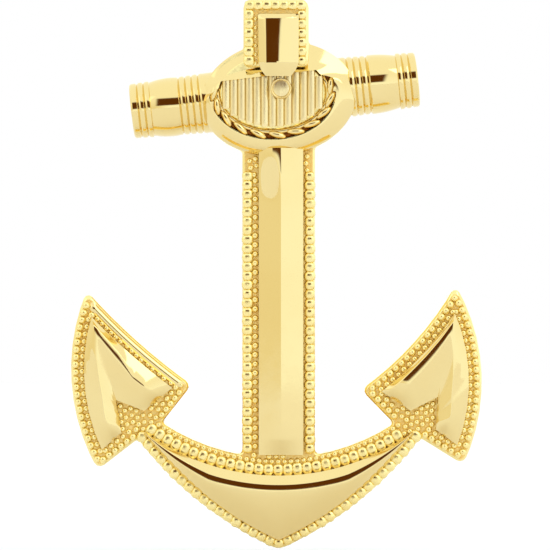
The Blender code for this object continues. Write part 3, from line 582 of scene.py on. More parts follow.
def bead_shape(square):
    """One bead of a border, open at its back: a dome, or a cushion with rounded corners."""
    if square:
        bead = primitive(bpy.ops.mesh.primitive_cube_add, size=2)
        edit(bead, (bpy.ops.mesh.subdivide, {"number_cuts": 2}))
        shaping = (bpy.ops.transform.tosphere, {"value": CUSHION_ROUNDNESS})
    else:
        bead = primitive(bpy.ops.mesh.primitive_uv_sphere_add, segments=BEAD_FACETS, ring_count=6, radius=1)
        turn = {"value": radians(90), "orient_axis": "X", "center_override": (0, 0, 0)}
        shaping = (bpy.ops.transform.rotate, turn)
    trim = {"plane_co": (0, 0.3, 0), "plane_no": (0, 1, 0), "clear_outer": True, "use_fill": False}
    edit(bead, shaping, (bpy.ops.mesh.select_all, {"action": "SELECT"}), (bpy.ops.mesh.bisect, trim))
    return taken_apart(bead)


def bead_border(name, beads, level, square=False, look="gold_bead", height=0.9, node=None):
    """A border as one piece; each bead is (x, z, half length, half width, heading)."""
    points, faces = bead_shape(square)
    copies = []
    for x, z, length, width, heading in beads:
        sized = points * np.array([length, min(length, width) * height, width])
        turned_x = sized[:, 0] * cos(heading) - sized[:, 2] * sin(heading)
        turned_z = sized[:, 0] * sin(heading) + sized[:, 2] * cos(heading)
        copies.append(np.column_stack([turned_x + x, sized[:, 1] + level, turned_z + z]))
    return settle(repeated(name, copies, faces), look, 180, node)


def front_of(*nodes):
    """A search tree over some nodes' surfaces."""
    points, faces = [], []
    for node in nodes:
        offset = len(points)
        mesh = frame["nodes"][node].data
        points += [vertex.co.copy() for vertex in mesh.vertices]
        faces += [[index + offset for index in face.vertices] for face in mesh.polygons]
    return BVHTree.FromPolygons(points, faces)


def covered(tree, x, z, margin):
    """Whether the nodes of a tree are in front of a bead's place."""
    places = [(x, z)] + [(x + margin * cos(turn), z + margin * sin(turn)) for turn in np.arange(8) * pi / 4]
    return any(tree.ray_cast(Vector((px, CAD_BOX[0].y - MM, pz)), Vector((0, 1, 0)))[0] for px, pz in places)


def edge_part(x, z):
    """Which border a place on the shell's edge belongs to."""
    if z > CROSSING[1] - BOSS_HALF_HEIGHT - MM and abs(x) < BOSS_HALF_WIDTH + MM:
        return "crossing"
    if abs(hypot(x - THROAT_CENTRE[0], z - THROAT_CENTRE[1]) - THROAT_RADIUS) < EDGE_BAND and z < THROAT_TOP:
        return "throat"
    if abs(x) < SHANK_HALF + EDGE_BAND:
        return "shank"
    side = RIGHT if x > 0 else LEFT
    if abs(hypot(x + side * KEEL_OFFSET, z - KEEL_CENTRE_Z) - KEEL_RADIUS) < EDGE_BAND and abs(x) < KEEL_REACH:
        return "keel"
    if side == RIGHT:
        return "right_fluke"
    tip, corner = LEFT_HOLLOW
    ahead = ((corner[0] - tip[0]) * (z - tip[1]) - (corner[1] - tip[1]) * (x - tip[0])) / hypot(
        corner[0] - tip[0], corner[1] - tip[1])
    return "left_hollow" if abs(ahead) < 0.5 * MM and tip[0] + 0.2 * MM < x < corner[0] else "left_fluke"


def edge_runs():
    """The shell's edge as runs of (part, points, inward normals), in order round the face."""
    loop = outline_at("anchor_shell", LAND_Y)
    fine = along(np.vstack([loop, loop[:1]]), step=EDGE_STEP)[:-1]
    ahead = np.roll(fine, -2, axis=0) - np.roll(fine, 2, axis=0)
    inwards = np.column_stack([ahead[:, 1], -ahead[:, 0]]) / np.linalg.norm(ahead, axis=1)[:, None]
    parts = [edge_part(*point) for point in fine]
    first = next(index for index in range(len(parts)) if parts[index] != parts[index - 1])
    runs = []
    for part, places in groupby(np.roll(range(len(parts)), -first), key=lambda index: parts[index]):
        places = list(places)
        if part != "throat":
            runs.append((part, fine[places], inwards[places]))
    return fine, runs + [throat_run()]


def throat_run():
    """The crown's inner edge from one neck to the other, also where the shank stands on it."""
    reach = THROAT_RADIUS + EDGE_INSET
    half = asin(THROAT_REACH / reach)
    turns = np.arange(-half, half, EDGE_STEP / reach) - pi / 2
    normals = np.column_stack([np.cos(turns), np.sin(turns)])
    return "throat", np.array(THROAT_CENTRE) + normals * reach, normals


def row_along(fine, points, normals, inset, pitch, start):
    """(x, z, heading) of beads in a row that keeps its distance from the shell's edge."""
    moved = points + normals * inset
    nearest = np.array([np.min(np.hypot(*(fine - point).T)) for point in moved])
    kept = moved[nearest > inset - 0.02 * MM]
    if len(kept) < 3:
        return []
    lengths = np.r_[0, np.cumsum(np.linalg.norm(np.diff(kept, axis=0), axis=1))]
    count = max(1, round(lengths[-1] / pitch))
    at = (np.arange(count) + start) * lengths[-1] / count
    x, z = (np.interp(at, lengths, kept[:, axis]) for axis in (0, 1))
    x_ahead, z_ahead = (np.interp(at + EDGE_STEP, lengths, kept[:, axis]) for axis in (0, 1))
    return list(zip(x, z, np.arctan2(z_ahead - z, x_ahead - x)))


class BUTTON_OT_borders(bpy.types.Operator):
    """Sets the beads of the shell's borders on its face"""

    bl_idname = "button.borders"
    bl_label = "Beaded borders"

    def execute(self, context):
        sizes = context.scene.button_sizes
        chance = np.random.RandomState(4)
        applied = front_of("ring_boss", "head_frame", "shank_bar", "crown_crescent", "fluke_palm_left",
                           "fluke_palm_right", "stock_arm_left", "stock_arm_right")
        fine, runs = edge_runs()
        domes, cushions = [], []
        for part, points, normals in runs:
            for *row, square in BORDER_ROWS.get(part, ()):
                inset, radius, pitch = (size * MM for size in row)
                radius *= sizes.bead_size
                pitch *= sizes.bead_spacing
                start = 0.5 if inset < 0.5 * MM else 0.0
                for x, z, heading in row_along(fine, points, normals, inset - EDGE_INSET, pitch, start):
                    if covered(applied, x, z, 0.45 * radius):
                        continue
                    uneven = chance.uniform(*UNEVENNESS)
                    heading += KEEL_SLANT if part == "keel" else 0.0
                    length = 0.47 * pitch if square else radius * uneven
                    (cushions if square else domes).append((x, z, length, radius * uneven, heading))
        domes += self.fillers(fine, applied, domes + cushions, chance)
        bead_border("border_beads", domes, LAND_Y)
        bead_border("border_cushions", cushions, LAND_Y, square=True, height=0.75)
        self.bevel_strip(runs)
        return {"FINISHED"}

    def fillers(self, fine, applied, beads, chance):
        """Small beads where the rows leave bare ground, as in the forks of the flukes."""
        taken = [(bead[0], bead[1], min(bead[2], bead[3])) for bead in beads]
        low, high = fine.min(axis=0), fine.max(axis=0)
        shell = front_of("anchor_shell")
        added = []
        for row, z in enumerate(np.arange(low[1], CROSSING[1] - BOSS_HALF_HEIGHT, FILLER_STEP)):
            for x in np.arange(low[0] + row % 2 * FILLER_STEP / 2, high[0], FILLER_STEP):
                if not covered(shell, x, z, 0) or covered(applied, x, z, 0.5 * FILLER_RADIUS):
                    continue
                if np.min(np.hypot(fine[:, 0] - x, fine[:, 1] - z)) < FILLER_FROM_EDGE:
                    continue
                spots = np.array(taken)
                if np.min(np.hypot(spots[:, 0] - x, spots[:, 1] - z) - spots[:, 2]) < 0.75 * FILLER_RADIUS:
                    continue
                radius = FILLER_RADIUS * chance.uniform(*UNEVENNESS)
                taken.append((x, z, radius))
                added.append((x, z, radius, radius, 0.0))
        return added

    def bevel_strip(self, runs):
        """The smooth rounded strip along the left fluke's upper edge."""
        _, points, normals = next(run for run in runs if run[0] == "left_hollow")
        inside = list(zip(points, normals))[6:-6:3]
        rings = []
        for index, (point, normal) in enumerate(inside):
            fade = min(1, index / 2, (len(inside) - 1 - index) / 2)
            spots = [(share * STRIP_WIDTH - 0.02 * MM, 0.02 * MM - STRIP_RISE * fade * sin(pi * share) ** 0.7)
                     for share in np.linspace(0, 1, 9)]
            spots += [(STRIP_WIDTH, 0.1 * MM), (0.0, 0.1 * MM)]
            rings.append([Vector((*(point + normal * across), LAND_Y + below)).xzy for across, below in spots])
        settle(loft("left_fluke_bevel", rings), "gold_mirror", 50)


# ---- shell and back


class BUTTON_OT_shell(bpy.types.Operator):
    """Finishes the struck shell: bright sides, and a ground under the beads made deeper with painted shade"""

    bl_idname = "button.shell"
    bl_label = "Struck shell"

    def execute(self, context):
        ground_at(refined("anchor_shell", "struck_shell", "gold_side", 0.06 * MM), LAND_Y)
        return {"FINISHED"}


class BUTTON_OT_back(bpy.types.Operator):
    """Finishes the back: the plate, the collet and the wire eye that turns in it"""

    bl_idname = "button.back"
    bl_label = "Back and sewing loop"

    def execute(self, context):
        refined("back_plate", "closed_back", "gold_back", 0.05 * MM)
        self.collet()
        self.loop()
        for node in ("stock_tie_rod", "loop_washer"):
            frame["nodes"][node].data.materials.clear()
            frame["nodes"][node].data.materials.append(look_of("raw_brass"))
        return {"FINISHED"}

    def collet(self):
        profile = [(0.65, -0.28), (0.77, -0.35), (1.35, -0.35), (1.5, -0.30), (1.55, -0.18), (1.55, 0.15),
                   (1.05, 0.15), (1.05, 1.05), (0.65, 1.05)]
        settle(turned_piece("swivel_collet", profile, closed=True), "gilt_wire", 40, "loop_collet")

    def loop(self):
        eye = primitive(
            bpy.ops.mesh.primitive_torus_add, rotation=(0, radians(90), 0), major_radius=EYE_RADIUS + WIRE_RADIUS,
            minor_radius=WIRE_RADIUS, major_segments=72, minor_segments=24)
        eye.name = eye.data.name = "sewing_eye_wire"
        profile = [(0.0, -1.3), (0.42, -1.25), (0.52, -1.0), (0.6, -0.6), (0.6, 1.46), (0.85, 1.46), (0.85, 1.62),
                   (0.75, 1.7), (0.0, 1.7)]
        stem = turned_piece("stem", profile)
        apply_modifier(eye, "BOOLEAN", operation="UNION", object=stem, solver="EXACT")
        bpy.data.objects.remove(stem)
        settle(eye, "gilt_wire", 40, "sewing_loop", LOOP_BODY)


def turned_piece(name, profile, base=0.0, closed=False):
    """A profile of (radius, depth) in millimetres, spun about the sewing loop's axis in front of a base."""
    points = [place(radius * MM, base + depth * MM, 0) for radius, depth in profile]
    count = len(points)
    edges = [(index, (index + 1) % count) for index in range(count if closed else count - 1)]
    piece = mesh_piece(name, points, [], edges)
    spin = {"steps": TURN_STEPS, "angle": 2 * pi, "center": (0, 0, 0), "axis": (0, 1, 0)}
    edit(piece, (bpy.ops.mesh.spin, spin), (bpy.ops.mesh.select_all, {"action": "SELECT"}),
         (bpy.ops.mesh.remove_doubles, {"threshold": MERGE}),
         (bpy.ops.mesh.normals_make_consistent, {"inside": False}))
    return piece


# ---- polished pieces


class BUTTON_OT_shank(bpy.types.Operator):
    """Lays the ridged bar on the shank"""

    bl_idname = "button.shank"
    bl_label = "Shank bar"

    def execute(self, context):
        low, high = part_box("shank_bar")
        half, middle = (high.x - low.x) / 2, (high.x + low.x) / 2
        foot, hip = low.z, 1.05 * MM
        top = CROSSING[1] - BOSS_HALF_HEIGHT + 0.5 * MM
        base, wall, rise = BASE_DEPTH, 0.35 * MM, 0.7 * MM
        stations = [(foot, 0.0), (foot + 0.12 * MM, 0.1), (foot + hip * 0.9, 0.93), (foot + hip, 0.985),
                    (foot + hip * 1.15, 1.0)]
        stations += [(z, 1.0) for z in np.linspace(foot + 2 * hip, top - 1.8 * MM, 10)]
        stations += [(top - 1.5 * MM, 0.99), (top, 0.83)]
        rings = []
        for z, share in stations:
            brow = 0.45 if z > top - 1.6 * MM else 0.0
            ends = (middle - half, z), (middle + half, z)
            rings.append(ridge(*ends, base, wall, rise * share, 0.5, (1.08, 1.12), (20, 14), brow))
        settle(loft("shank_ridge_bar", rings), "gold_mirror", 40, "shank_bar")
        return {"FINISHED"}


class BUTTON_OT_crown(bpy.types.Operator):
    """Lays the polished crescent on the crown"""

    bl_idname = "button.crown"
    bl_label = "Crown crescent"

    def execute(self, context):
        inner_radius, outer_radius = THROAT_RADIUS + 1.1 * MM, KEEL_RADIUS - 0.6 * MM
        crest, rise, wall, steps = 1.05 * MM, 0.95 * MM, 0.3 * MM, 36
        halves = {}
        for side in (LEFT, RIGHT):
            centre = (-side * KEEL_OFFSET, KEEL_CENTRE_Z)
            tip = circles_meet(THROAT_CENTRE, inner_radius, centre, outer_radius)
            inner_sweep = atan2(tip[0], THROAT_CENTRE[1] - tip[1])
            outer_start = atan2(-centre[0], sqrt(outer_radius**2 - centre[0] ** 2))
            outer_sweep = atan2(tip[0] - centre[0], centre[1] - tip[1]) - outer_start
            halves[side] = [
                (circle_point(THROAT_CENTRE, inner_radius, inner_sweep * share - pi / 2),
                 circle_point(centre, outer_radius, outer_start + outer_sweep * share - pi / 2))
                for share in np.linspace(0, 0.976, steps)]
        rings = []
        for inner, outer in halves[LEFT][:0:-1] + halves[RIGHT]:
            width = hypot(outer[0] - inner[0], outer[1] - inner[1])
            height = rise * sqrt(min(1, width / (2.4 * crest)))
            share = min(crest / width, 0.5)
            rings.append(ridge(inner, outer, BASE_DEPTH, wall, height, share, (1.0, 1.5), (24, 26), 0.46, 0.45))
        settle(loft("crown_moon", rings), "gold_mirror", 45, "crown_crescent")
        return {"FINISHED"}


def circle_point(centre, radius, angle):
    return centre[0] + radius * cos(angle), centre[1] + radius * sin(angle)


def circles_meet(centre, radius, other, other_radius):
    """The lower meeting point of two circles."""
    dx, dz = other[0] - centre[0], other[1] - centre[1]
    distance = hypot(dx, dz)
    reach = (radius**2 - other_radius**2 + distance**2) / (2 * distance)
    across = sqrt(radius**2 - reach**2)
    spots = [(centre[0] + (dx * reach - sign * dz * across) / distance,
              centre[1] + (dz * reach + sign * dx * across) / distance) for sign in (1, -1)]
    return min(spots, key=lambda spot: spot[1])


class BUTTON_OT_palms(bpy.types.Operator):
    """Lays the ridged chevrons on the flukes"""

    bl_idname = "button.palms"
    bl_label = "Fluke palms"

    def execute(self, context):
        self.palm("fluke_palm_left", "left_palm", LEFT_PALM)
        self.palm("fluke_palm_right", "right_palm", RIGHT_PALM)
        return {"FINISHED"}

    def palm(self, node, name, upper_lobe):
        loop = outline_at(node, BASE_Y)
        marks = corners_of(loop, radians(20))
        tip = max(marks, key=lambda index: loop[index][1])
        marks = marks[marks.index(tip):] + marks[:marks.index(tip)]
        if loop[marks[1]][1] > loop[marks[-1]][1]:
            marks = marks[:1] + marks[:0:-1]
        if len(marks) != 6:
            raise RuntimeError(f"{node} has {len(marks)} corners, and a chevron has 6")
        tip, outer, lower_heel, fork, upper_heel, inner = marks
        upper = along(stretch(loop, inner, tip), count=PALM_STEPS)
        belly = along(stretch(loop, tip, outer), count=PALM_STEPS)
        upper_inside = along([loop[upper_heel], loop[fork]], count=PALM_STEPS)
        lower_inside = along([loop[fork], loop[lower_heel]], count=PALM_STEPS)
        last = PALM_STEPS - 1
        stations = [(upper[i], upper_inside[i], i / last) for i in range(last)]
        stations += [(belly[i], lower_inside[i], 1 + i / last) for i in range(PALM_STEPS)]
        rings, rise, wall, taper = [], 0.7 * MM, 0.3 * MM, 3.6
        for edge, inside, way in stations:
            share = min(1.0, taper * (1 - abs(way - 1)))
            height = rise * share * (2 - share)
            upper_crest, upper_brow = (np.interp(way, PALM_WAY, row) for row in upper_lobe)
            turn = soft_step(way, 0.9, 1.5)
            crest = upper_crest + (LOWER_CREST - upper_crest) * turn
            brow = upper_brow + (LOWER_BROW - upper_brow) * turn
            bulge = (1.0, 1.4 - 0.15 * turn)
            fullness = min(1.0, brow / FULL_BROW)
            brow_rise = BROW_RISE * (fullness + (1 - fullness) * turn)
            rings.append(ridge(edge, inside, BASE_DEPTH, wall, height, crest, bulge, (24, 20), brow, 0.35, brow_rise))
        settle(loft(name, rings), "gold_mirror", 45, node)


def soft_step(value, low, high):
    share = min(1.0, max(0.0, (value - low) / (high - low)))
    return share * share * (3 - 2 * share)


def stretch(loop, first, last):
    """The shorter way along a loop from one of its points to another."""
    count = len(loop)
    forwards = [(first + step) % count for step in range((last - first) % count + 1)]
    backwards = [(first - step) % count for step in range((first - last) % count + 1)]
    return loop[min(forwards, backwards, key=len)]


# ---- the crossing


def hidden_share(angle):
    """How far the rope is under the boss at an angle round the disc: 0 in the open, 1 covered."""
    return min(1.0, max(0.0, (sin(angle - ROPE_COVER_LEAN) - ROPE_COVER_FROM) * 6))


def crest_line(x):
    """The height at which the disc's ribs run under the smooth crest."""
    return CREST_LOW + CREST_SLOPE * (x - ROPE_CENTRE[0])


class BUTTON_OT_crossing(bpy.types.Operator):
    """Builds the boss with its rope, its ribbed disc and its stud"""

    bl_idname = "button.crossing"
    bl_label = "Crossing"

    def execute(self, context):
        self.boss()
        self.rope(context.scene.button_sizes.rope_lays)
        self.disc(context.scene.button_sizes.ribs)
        self.stud()
        return {"FINISHED"}

    def boss(self):
        hole = (ROPE_HALF_WIDTH + CLEARANCE, ROPE_HALF_HEIGHT + CLEARANCE)
        rings = []
        for step in range(RING_STEPS):
            angle = 2 * pi * step / RING_STEPS
            outer = np.array(ellipse_point(CROSSING, BOSS_HALF_WIDTH, BOSS_HALF_HEIGHT, angle, STOCK_TILT))
            cover = ROPE_COVER * hidden_share(angle + STOCK_TILT)
            inner = np.array(ellipse_point(ROPE_CENTRE, hole[0] - cover, hole[1] - cover, angle + STOCK_TILT))
            inner[1] = min(inner[1], crest_line(inner[0]))
            bulge = 2.2 - 1.15 * soft_step(sin(angle), -0.1, 0.35)
            section = [(share, 0.12 + 0.78 * (1 - (1 - share) ** bulge)) for share in np.linspace(0, 1, 14)]
            section = [(0, 0), (0, 0.1), *section, (1, 0)]
            rings.append([part_way(outer, inner, share, BASE_DEPTH + height * MM) for share, height in section])
        settle(loft("crossing_boss", rings, endless=True), "gold_mirror", 60, "ring_boss")

    def rope(self, lays):
        # The bed under the rope is a dark cord of painted shade that shows in the gaps between the strands
        self.cord("rope_bed", 0.24 * MM, 0.24 * MM, 0.2 * MM, "gold_gap")
        self.cord("rope_rim", 0.5 * MM, 0.16 * MM, 0.42 * MM, "gold_mirror")
        strands = []
        for number in range(lays):
            angle = 2 * pi * (number + 0.5) / lays
            if hidden_share(angle) > 0.9:
                continue
            inset = 0.27 * MM
            x, z = ellipse_point(ROPE_CENTRE, ROPE_HALF_WIDTH - inset, ROPE_HALF_HEIGHT - inset, angle)
            heading = atan2(ROPE_HALF_HEIGHT * cos(angle), -ROPE_HALF_WIDTH * sin(angle)) + ROPE_SLANT
            strands.append((x, z, 0.66 * MM, 0.25 * MM, heading))
        level = place(0, ROPE_DEPTH + 0.2 * MM, 0).y
        bead_border("laid_rope", strands, level, look="gold_mirror", height=1.1, node="rope_trim")

    def cord(self, name, inset, radius, depth, look):
        """A round cord that runs round the disc, and dives where the boss covers it."""
        rings = []
        for step in range(RING_STEPS):
            angle = 2 * pi * step / RING_STEPS
            x, z = ellipse_point(ROPE_CENTRE, ROPE_HALF_WIDTH - inset, ROPE_HALF_HEIGHT - inset, angle)
            outwards = Vector((cos(angle) / ROPE_HALF_WIDTH, 0, sin(angle) / ROPE_HALF_HEIGHT)).normalized()
            middle = place(x, BASE_DEPTH + depth - 0.2 * MM * hidden_share(angle), z)
            rings.append([middle + (outwards * cos(turn) + Vector((0, 1, 0)) * sin(turn)) * radius
                          for turn in np.arange(12) * pi / 6])
        settle(loft(name, rings, endless=True), look, 180)

    def disc(self, count):
        half_width, half_height = ROPE_HALF_WIDTH - ROPE_WIDTH - CLEARANCE, ROPE_HALF_HEIGHT - ROPE_WIDTH - CLEARANCE
        levels = [(ROPE_HALF_WIDTH, ROPE_HALF_HEIGHT, 0.0), (ROPE_HALF_WIDTH, ROPE_HALF_HEIGHT, 0.25),
                  (half_width, half_height, 0.25), (half_width, half_height, 0.62),
                  (half_width - 0.06 * MM, half_height - 0.06 * MM, 0.69)]
        rings = []
        for wide, high, depth in levels:
            spots = ellipse_ring(ROPE_CENTRE, wide, high, RING_STEPS)
            rings.append([place(x, BASE_DEPTH + depth * MM, z) for x, z in spots])
        settle(loft("disc_plate", rings), "gold_side", 40)
        rib = primitive(bpy.ops.mesh.primitive_cylinder_add, vertices=16, radius=1, depth=2, end_fill_type="NGON")
        trim = {"plane_co": (0, 0.25, 0), "plane_no": (0, 1, 0), "clear_outer": True, "use_fill": True}
        edit(rib, (bpy.ops.mesh.bisect, trim))
        apply_modifier(rib, "BEVEL", width=0.12, segments=2, limit_method="ANGLE", angle_limit=radians(60))
        shape, faces = taken_apart(rib)
        pitch = 2 * (half_width - DISC_RIM) / count
        copies = []
        for number in range(count):
            across = (number - (count - 1) / 2) * pitch
            half = (half_height - DISC_RIM) * sqrt(max(1 - (across / half_width) ** 2, 0.02))
            x = ROPE_CENTRE[0] + across
            low, high = ROPE_CENTRE[1] - half, min(ROPE_CENTRE[1] + half, crest_line(x) + 0.1 * MM)
            sized = shape * np.array([0.52 * pitch, 0.18 * MM, (high - low) / 2])
            copies.append(sized + np.array(place(x, BASE_DEPTH + 0.67 * MM, (low + high) / 2)))
        settle(repeated("disc_ribs", copies, faces), "gold_satin", 50, "ribbed_disc")

    def stud(self):
        profile = [(0.0, 0.35), (0.4, 0.35), (0.5, 0.33), (0.53, 0.32), (0.56, 0.36), (0.59, 0.42), (0.63, 0.44),
                   (0.67, 0.4), (0.69, 0.32), (0.69, 0.0), (0.0, 0.0)]
        stud = turned_piece("stud_head", profile, BASE_DEPTH + 0.9 * MM)
        stud.location = (STUD_CENTRE[0], 0, STUD_CENTRE[1])
        settle(stud, "gold_satin", 50, "centre_stud")


# ---- the stock


class BUTTON_OT_stock(bpy.types.Operator):
    """Turns the two arms of the stock"""

    bl_idname = "button.stock"
    bl_label = "Stock arms"

    def execute(self, context):
        self.arm("stock_arm_left", "left_stock_arm", LEFT, 9.73 * MM, BARREL_CROWN)
        self.arm("stock_arm_right", "right_stock_arm", RIGHT, 9.19 * MM, BARREL_FLARE)
        return {"FINISHED"}

    def arm(self, node, name, side, reach, crown):
        root, root_radius, end_radius = 3.3 * MM, 2.03 * MM, 1.8 * MM
        taper = (root_radius - end_radius) / (reach - root)

        def radius(distance, cut=0.0):
            return distance, end_radius + taper * (reach - distance) - cut

        profile = [(reach - 0.05 * MM, 0.0), (reach - 0.05 * MM, end_radius - 0.3 * MM), radius(reach, 0.14 * MM),
                   radius(reach - 0.03 * MM, 0.06 * MM), radius(reach - 0.12 * MM)]
        distance = reach - 0.42 * MM
        for ribs, plain in ((2, 1.9 * MM), (4, 0.0)):
            for _ in range(ribs):
                for back, cut in RIB_SECTION:
                    profile.append(radius(distance - back * STOCK_RIB_PITCH, cut * MM))
                distance -= STOCK_RIB_PITCH
            profile.append(radius(distance))
            if plain:
                for share in np.linspace(0.03, 0.97, 14):
                    swell = crown[0] - crown[1] * (share - crown[2]) ** 2
                    profile.append(radius(distance - share * plain, -swell))
            distance -= plain
        profile.append(radius(root))
        profile.append((root, 0.0))
        rings = []
        ahead = Vector((cos(STOCK_TILT), 0, sin(STOCK_TILT)))
        upwards = Vector((-sin(STOCK_TILT), 0, cos(STOCK_TILT)))
        behind = Vector((0, 1, 0))
        centre = place(STOCK_CENTRE[0], STOCK_DEPTH, STOCK_CENTRE[1])
        for away, size in profile:
            middle = centre + ahead * side * away
            size = max(size, 0.001 * MM)
            flat = acos(min(STOCK_DEPTH / size, cos(FLAT_LEAST)))
            turns = [*np.linspace(flat, 2 * pi - flat, 57), *np.linspace(-flat, flat, 9)[1:-1]]
            rings.append([middle + upwards * sin(turn) * size + behind * min(cos(turn) * size, STOCK_DEPTH)
                          for turn in turns])
        arm = loft(name, rings)
        seat = ellipse_ring(CROSSING, BOSS_HALF_WIDTH, BOSS_HALF_HEIGHT, 96, STOCK_TILT)
        block = loft("seat", [[place(x, depth, z) for x, z in seat] for depth in (-MM, SEAT_DEPTH)])
        apply_modifier(arm, "BOOLEAN", operation="DIFFERENCE", object=block, solver="EXACT")
        bpy.data.objects.remove(block)
        smooth(arm, 24)
        for face in arm.data.polygons:
            face.use_smooth = face.use_smooth and face.normal.y < 0.999
        settle(arm, "gold_mirror", node=node)


# ---- the head


class BUTTON_OT_head(bpy.types.Operator):
    """Builds the head: its plate, its beads and the bar on it"""

    bl_idname = "button.head"
    bl_label = "Head"

    def execute(self, context):
        low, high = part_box("head_frame")
        # The plate's ground between the beads takes the painted shade of the crevices
        ground_at(refined("head_frame", "head_plate", "gold_side", 0.05 * MM), low.y)
        self.beads(low, high)
        self.bar()
        return {"FINISHED"}

    def beads(self, low, high):
        chance = np.random.RandomState(9)
        top = high.z - 0.42 * MM
        beads = [(x, top, 0.3 * MM, 0.28 * MM * chance.uniform(*UNEVENNESS), 0.0)
                 for x in np.linspace(low.x + 0.42 * MM, high.x - 0.5 * MM, 7)]
        for column, size, foot in ((low.x + 0.38 * MM, 0.29, 0.3), (high.x - 0.46 * MM, 0.26, 0.2)):
            for z in np.arange(top - 0.62 * MM, low.z + foot * MM, -0.6 * MM):
                beads.append((column, z, size * MM * chance.uniform(*UNEVENNESS), size * MM, 0.0))
        bead_border("head_cushions", beads, low.y, square=True, height=0.7)
        small = [(low.x + 0.78 * MM, z, 0.13 * MM, 0.16 * MM, 0.0)
                 for z in np.arange(top - 0.9 * MM, low.z + 0.2 * MM, -0.58 * MM)]
        bead_border("head_small_beads", small, low.y)

    def bar(self):
        low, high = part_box("head_bar")
        half, middle = (high.x - low.x) / 2, (high.x + low.x) / 2
        base = BACK_Y - low.y - 0.7 * MM
        section = [(-1.0, 0.0), (-1.0, 0.2), (-0.97, 0.27), (-0.72, 0.6), (-0.62, 0.665), (-0.56, 0.68),
                   (-0.2, 0.7), (-0.1, 0.7), (0.0, 0.69), (0.2, 0.64), (0.5, 0.52), (0.8, 0.36), (0.95, 0.26),
                   (1.0, 0.2), (1.0, 0.0)]
        rings = []
        foot, wall = low.z, 0.2
        upper = ((0.0, 0.0), (0.1, 0.2), (0.24, 0.5), (0.3, 0.62), (0.36, 0.63), (1.5, 0.8))
        stations = [(high.z - down * MM, share, 1.0) for down, share in upper]
        stations += [(foot + 0.95 * MM, 0.99, 1.0), (foot + 0.85 * MM, 1.0, 1.0), (foot + 0.4 * MM, 0.55, 0.85),
                     (foot, 0.05, 0.62)]
        for z, share, narrow in stations:
            shown = [min(height, wall) + max(height - wall, 0) * share for _, height in section]
            rings.append([place(middle + across * half * narrow, base + height * MM, z)
                          for (across, _), height in zip(section, shown)])
        settle(loft("head_ridge_bar", rings), "gold_mirror", 28, "head_bar")


# ---- the stage


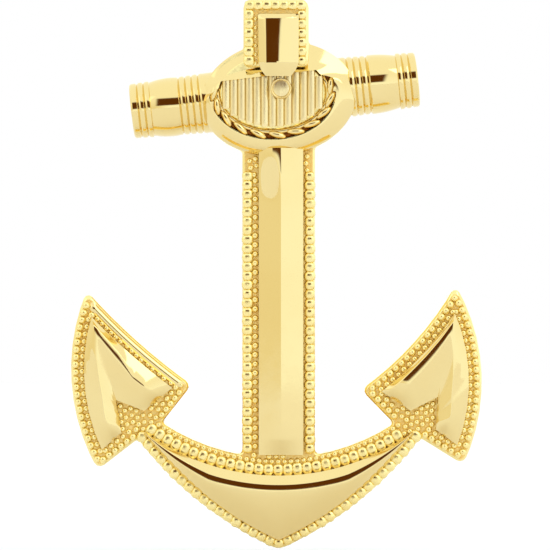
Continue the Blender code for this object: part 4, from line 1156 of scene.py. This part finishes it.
class BUTTON_OT_stage(bpy.types.Operator):
    """Sets the floor, the soft studio light and the camera"""

    bl_idname = "button.stage"
    bl_label = "Stage"

    def execute(self, context):
        scene = context.scene
        self.floor()
        self.surroundings(scene)
        self.lamps()
        view = bpy.data.cameras.new("camera")
        distance = scene.button_sizes.camera_distance
        view.sensor_width = SENSOR
        view.lens = SENSOR * distance / VIEW_WIDTH
        view.clip_start, view.clip_end = 0.01, 10
        camera = bpy.data.objects.new("camera", view)
        camera.location = (VIEW_CENTRE[0], LAND_Y - distance, VIEW_CENTRE[1])
        camera.rotation_euler = (radians(90), 0, 0)
        scene.collection.objects.link(camera)
        scene.camera = camera
        scene.view_settings.view_transform = "Standard"
        return {"FINISHED"}

    def floor(self):
        floor = primitive(
            bpy.ops.mesh.primitive_circle_add, vertices=96, radius=FLOOR_RADIUS, fill_type="NGON",
            location=(0, 0, CAD_BOX[0].z - FLOOR_GAP))
        edit(floor, (bpy.ops.mesh.inset, {"thickness": 0.01, "depth": 0.0}))
        bpy.ops.object.transform_apply(location=True)
        floor.name = "floor"
        paint = bpy.data.materials.new("floor_paint")
        nodes = Nodes(paint)
        speckle = nodes.noise(60.0, 2.0)
        surface = nodes.node("ShaderNodeBsdfPrincipled", {
            "Base Color": nodes.mix(speckle, (0.89, 0.89, 0.94), (0.91, 0.91, 0.96)), "Roughness": 0.9,
        })
        nodes.node("ShaderNodeOutputMaterial", {"Surface": surface.outputs[0]})
        floor.data.materials.append(paint)

    def surroundings(self, scene):
        """A light tent: bright above and to the right, warmer to the left, and dark where its opening is."""
        world = bpy.data.worlds.new("light_tent")
        scene.world = world
        nodes = Nodes(world)
        where = nodes.node("ShaderNodeTexCoord").outputs["Generated"]
        parts = nodes.node("ShaderNodeSeparateXYZ", {"Vector": where})
        x, y, z = (Value(nodes, parts.outputs[axis]) for axis in ("X", "Y", "Z"))
        opening = x.between(-0.42, 0.26, 0.05) * z.between(0.08, 0.54, 0.04) * (1 - y.above(-0.4, 0.1))
        left = (1 - x.above(-0.25, 0.25)) * (1 - z.above(0.55, 0.2))
        tent = nodes.mix(left, TENT_WHITE, TENT_WARM)
        tent = nodes.mix(z.above(0.1, 0.5), tent, TENT_TOP)
        tent = nodes.mix(opening, tent, TENT_DARK)
        seen = nodes.node("ShaderNodeLightPath").outputs["Is Camera Ray"]
        light = nodes.node("ShaderNodeBackground", {
            "Color": nodes.mix(seen, tent, (1.0, 1.0, 1.0)), "Strength": 1.0,
        })
        nodes.node("ShaderNodeOutputWorld", {"Surface": light.outputs[0]})

    def lamps(self):
        for name, spot, size, power in LAMPS:
            lamp = bpy.data.lights.new(name, "AREA")
            lamp.size, lamp.energy = size, power
            holder = bpy.data.objects.new(name, lamp)
            holder.location = spot
            toward = Vector((0, LAND_Y, VIEW_CENTRE[1])) - Vector(spot)
            holder.rotation_euler = toward.to_track_quat("-Z", "Y").to_euler()
            bpy.context.scene.collection.objects.link(holder)


class BUTTON_PT_panel(bpy.types.Panel):
    """Lists the pieces of the button"""

    bl_label = "Anchor Button"
    bl_idname = "BUTTON_PT_panel"
    bl_space_type = "VIEW_3D"
    bl_region_type = "UI"
    bl_category = "Button"

    def draw(self, context):
        for group in (context.scene.button_sizes, context.scene.button_finish):
            for name in group.bl_rna.properties.keys():
                if name not in ("rna_type", "name"):
                    self.layout.prop(group, name)
        for operator in STEPS:
            self.layout.operator(operator.bl_idname)


STEPS = (
    BUTTON_OT_shell, BUTTON_OT_back, BUTTON_OT_borders, BUTTON_OT_shank, BUTTON_OT_crown, BUTTON_OT_palms,
    BUTTON_OT_crossing, BUTTON_OT_stock, BUTTON_OT_head, BUTTON_OT_stage,
)
GROUPS = (ButtonFinish, ButtonSizes)


def register():
    for kind in GROUPS + STEPS + (BUTTON_PT_panel,):
        bpy.utils.register_class(kind)
    bpy.types.Scene.button_finish = PointerProperty(type=ButtonFinish)
    bpy.types.Scene.button_sizes = PointerProperty(type=ButtonSizes)


def unregister():
    del bpy.types.Scene.button_sizes
    del bpy.types.Scene.button_finish
    for kind in (BUTTON_PT_panel,) + STEPS[::-1] + GROUPS[::-1]:
        bpy.utils.unregister_class(kind)


def main():
    register()
    bpy.ops.object.select_all(action="DESELECT")
    for operator in STEPS:
        name = operator.bl_idname.split(".")[1]
        getattr(bpy.ops.button, name)()


if __name__ == "__main__":
    main()
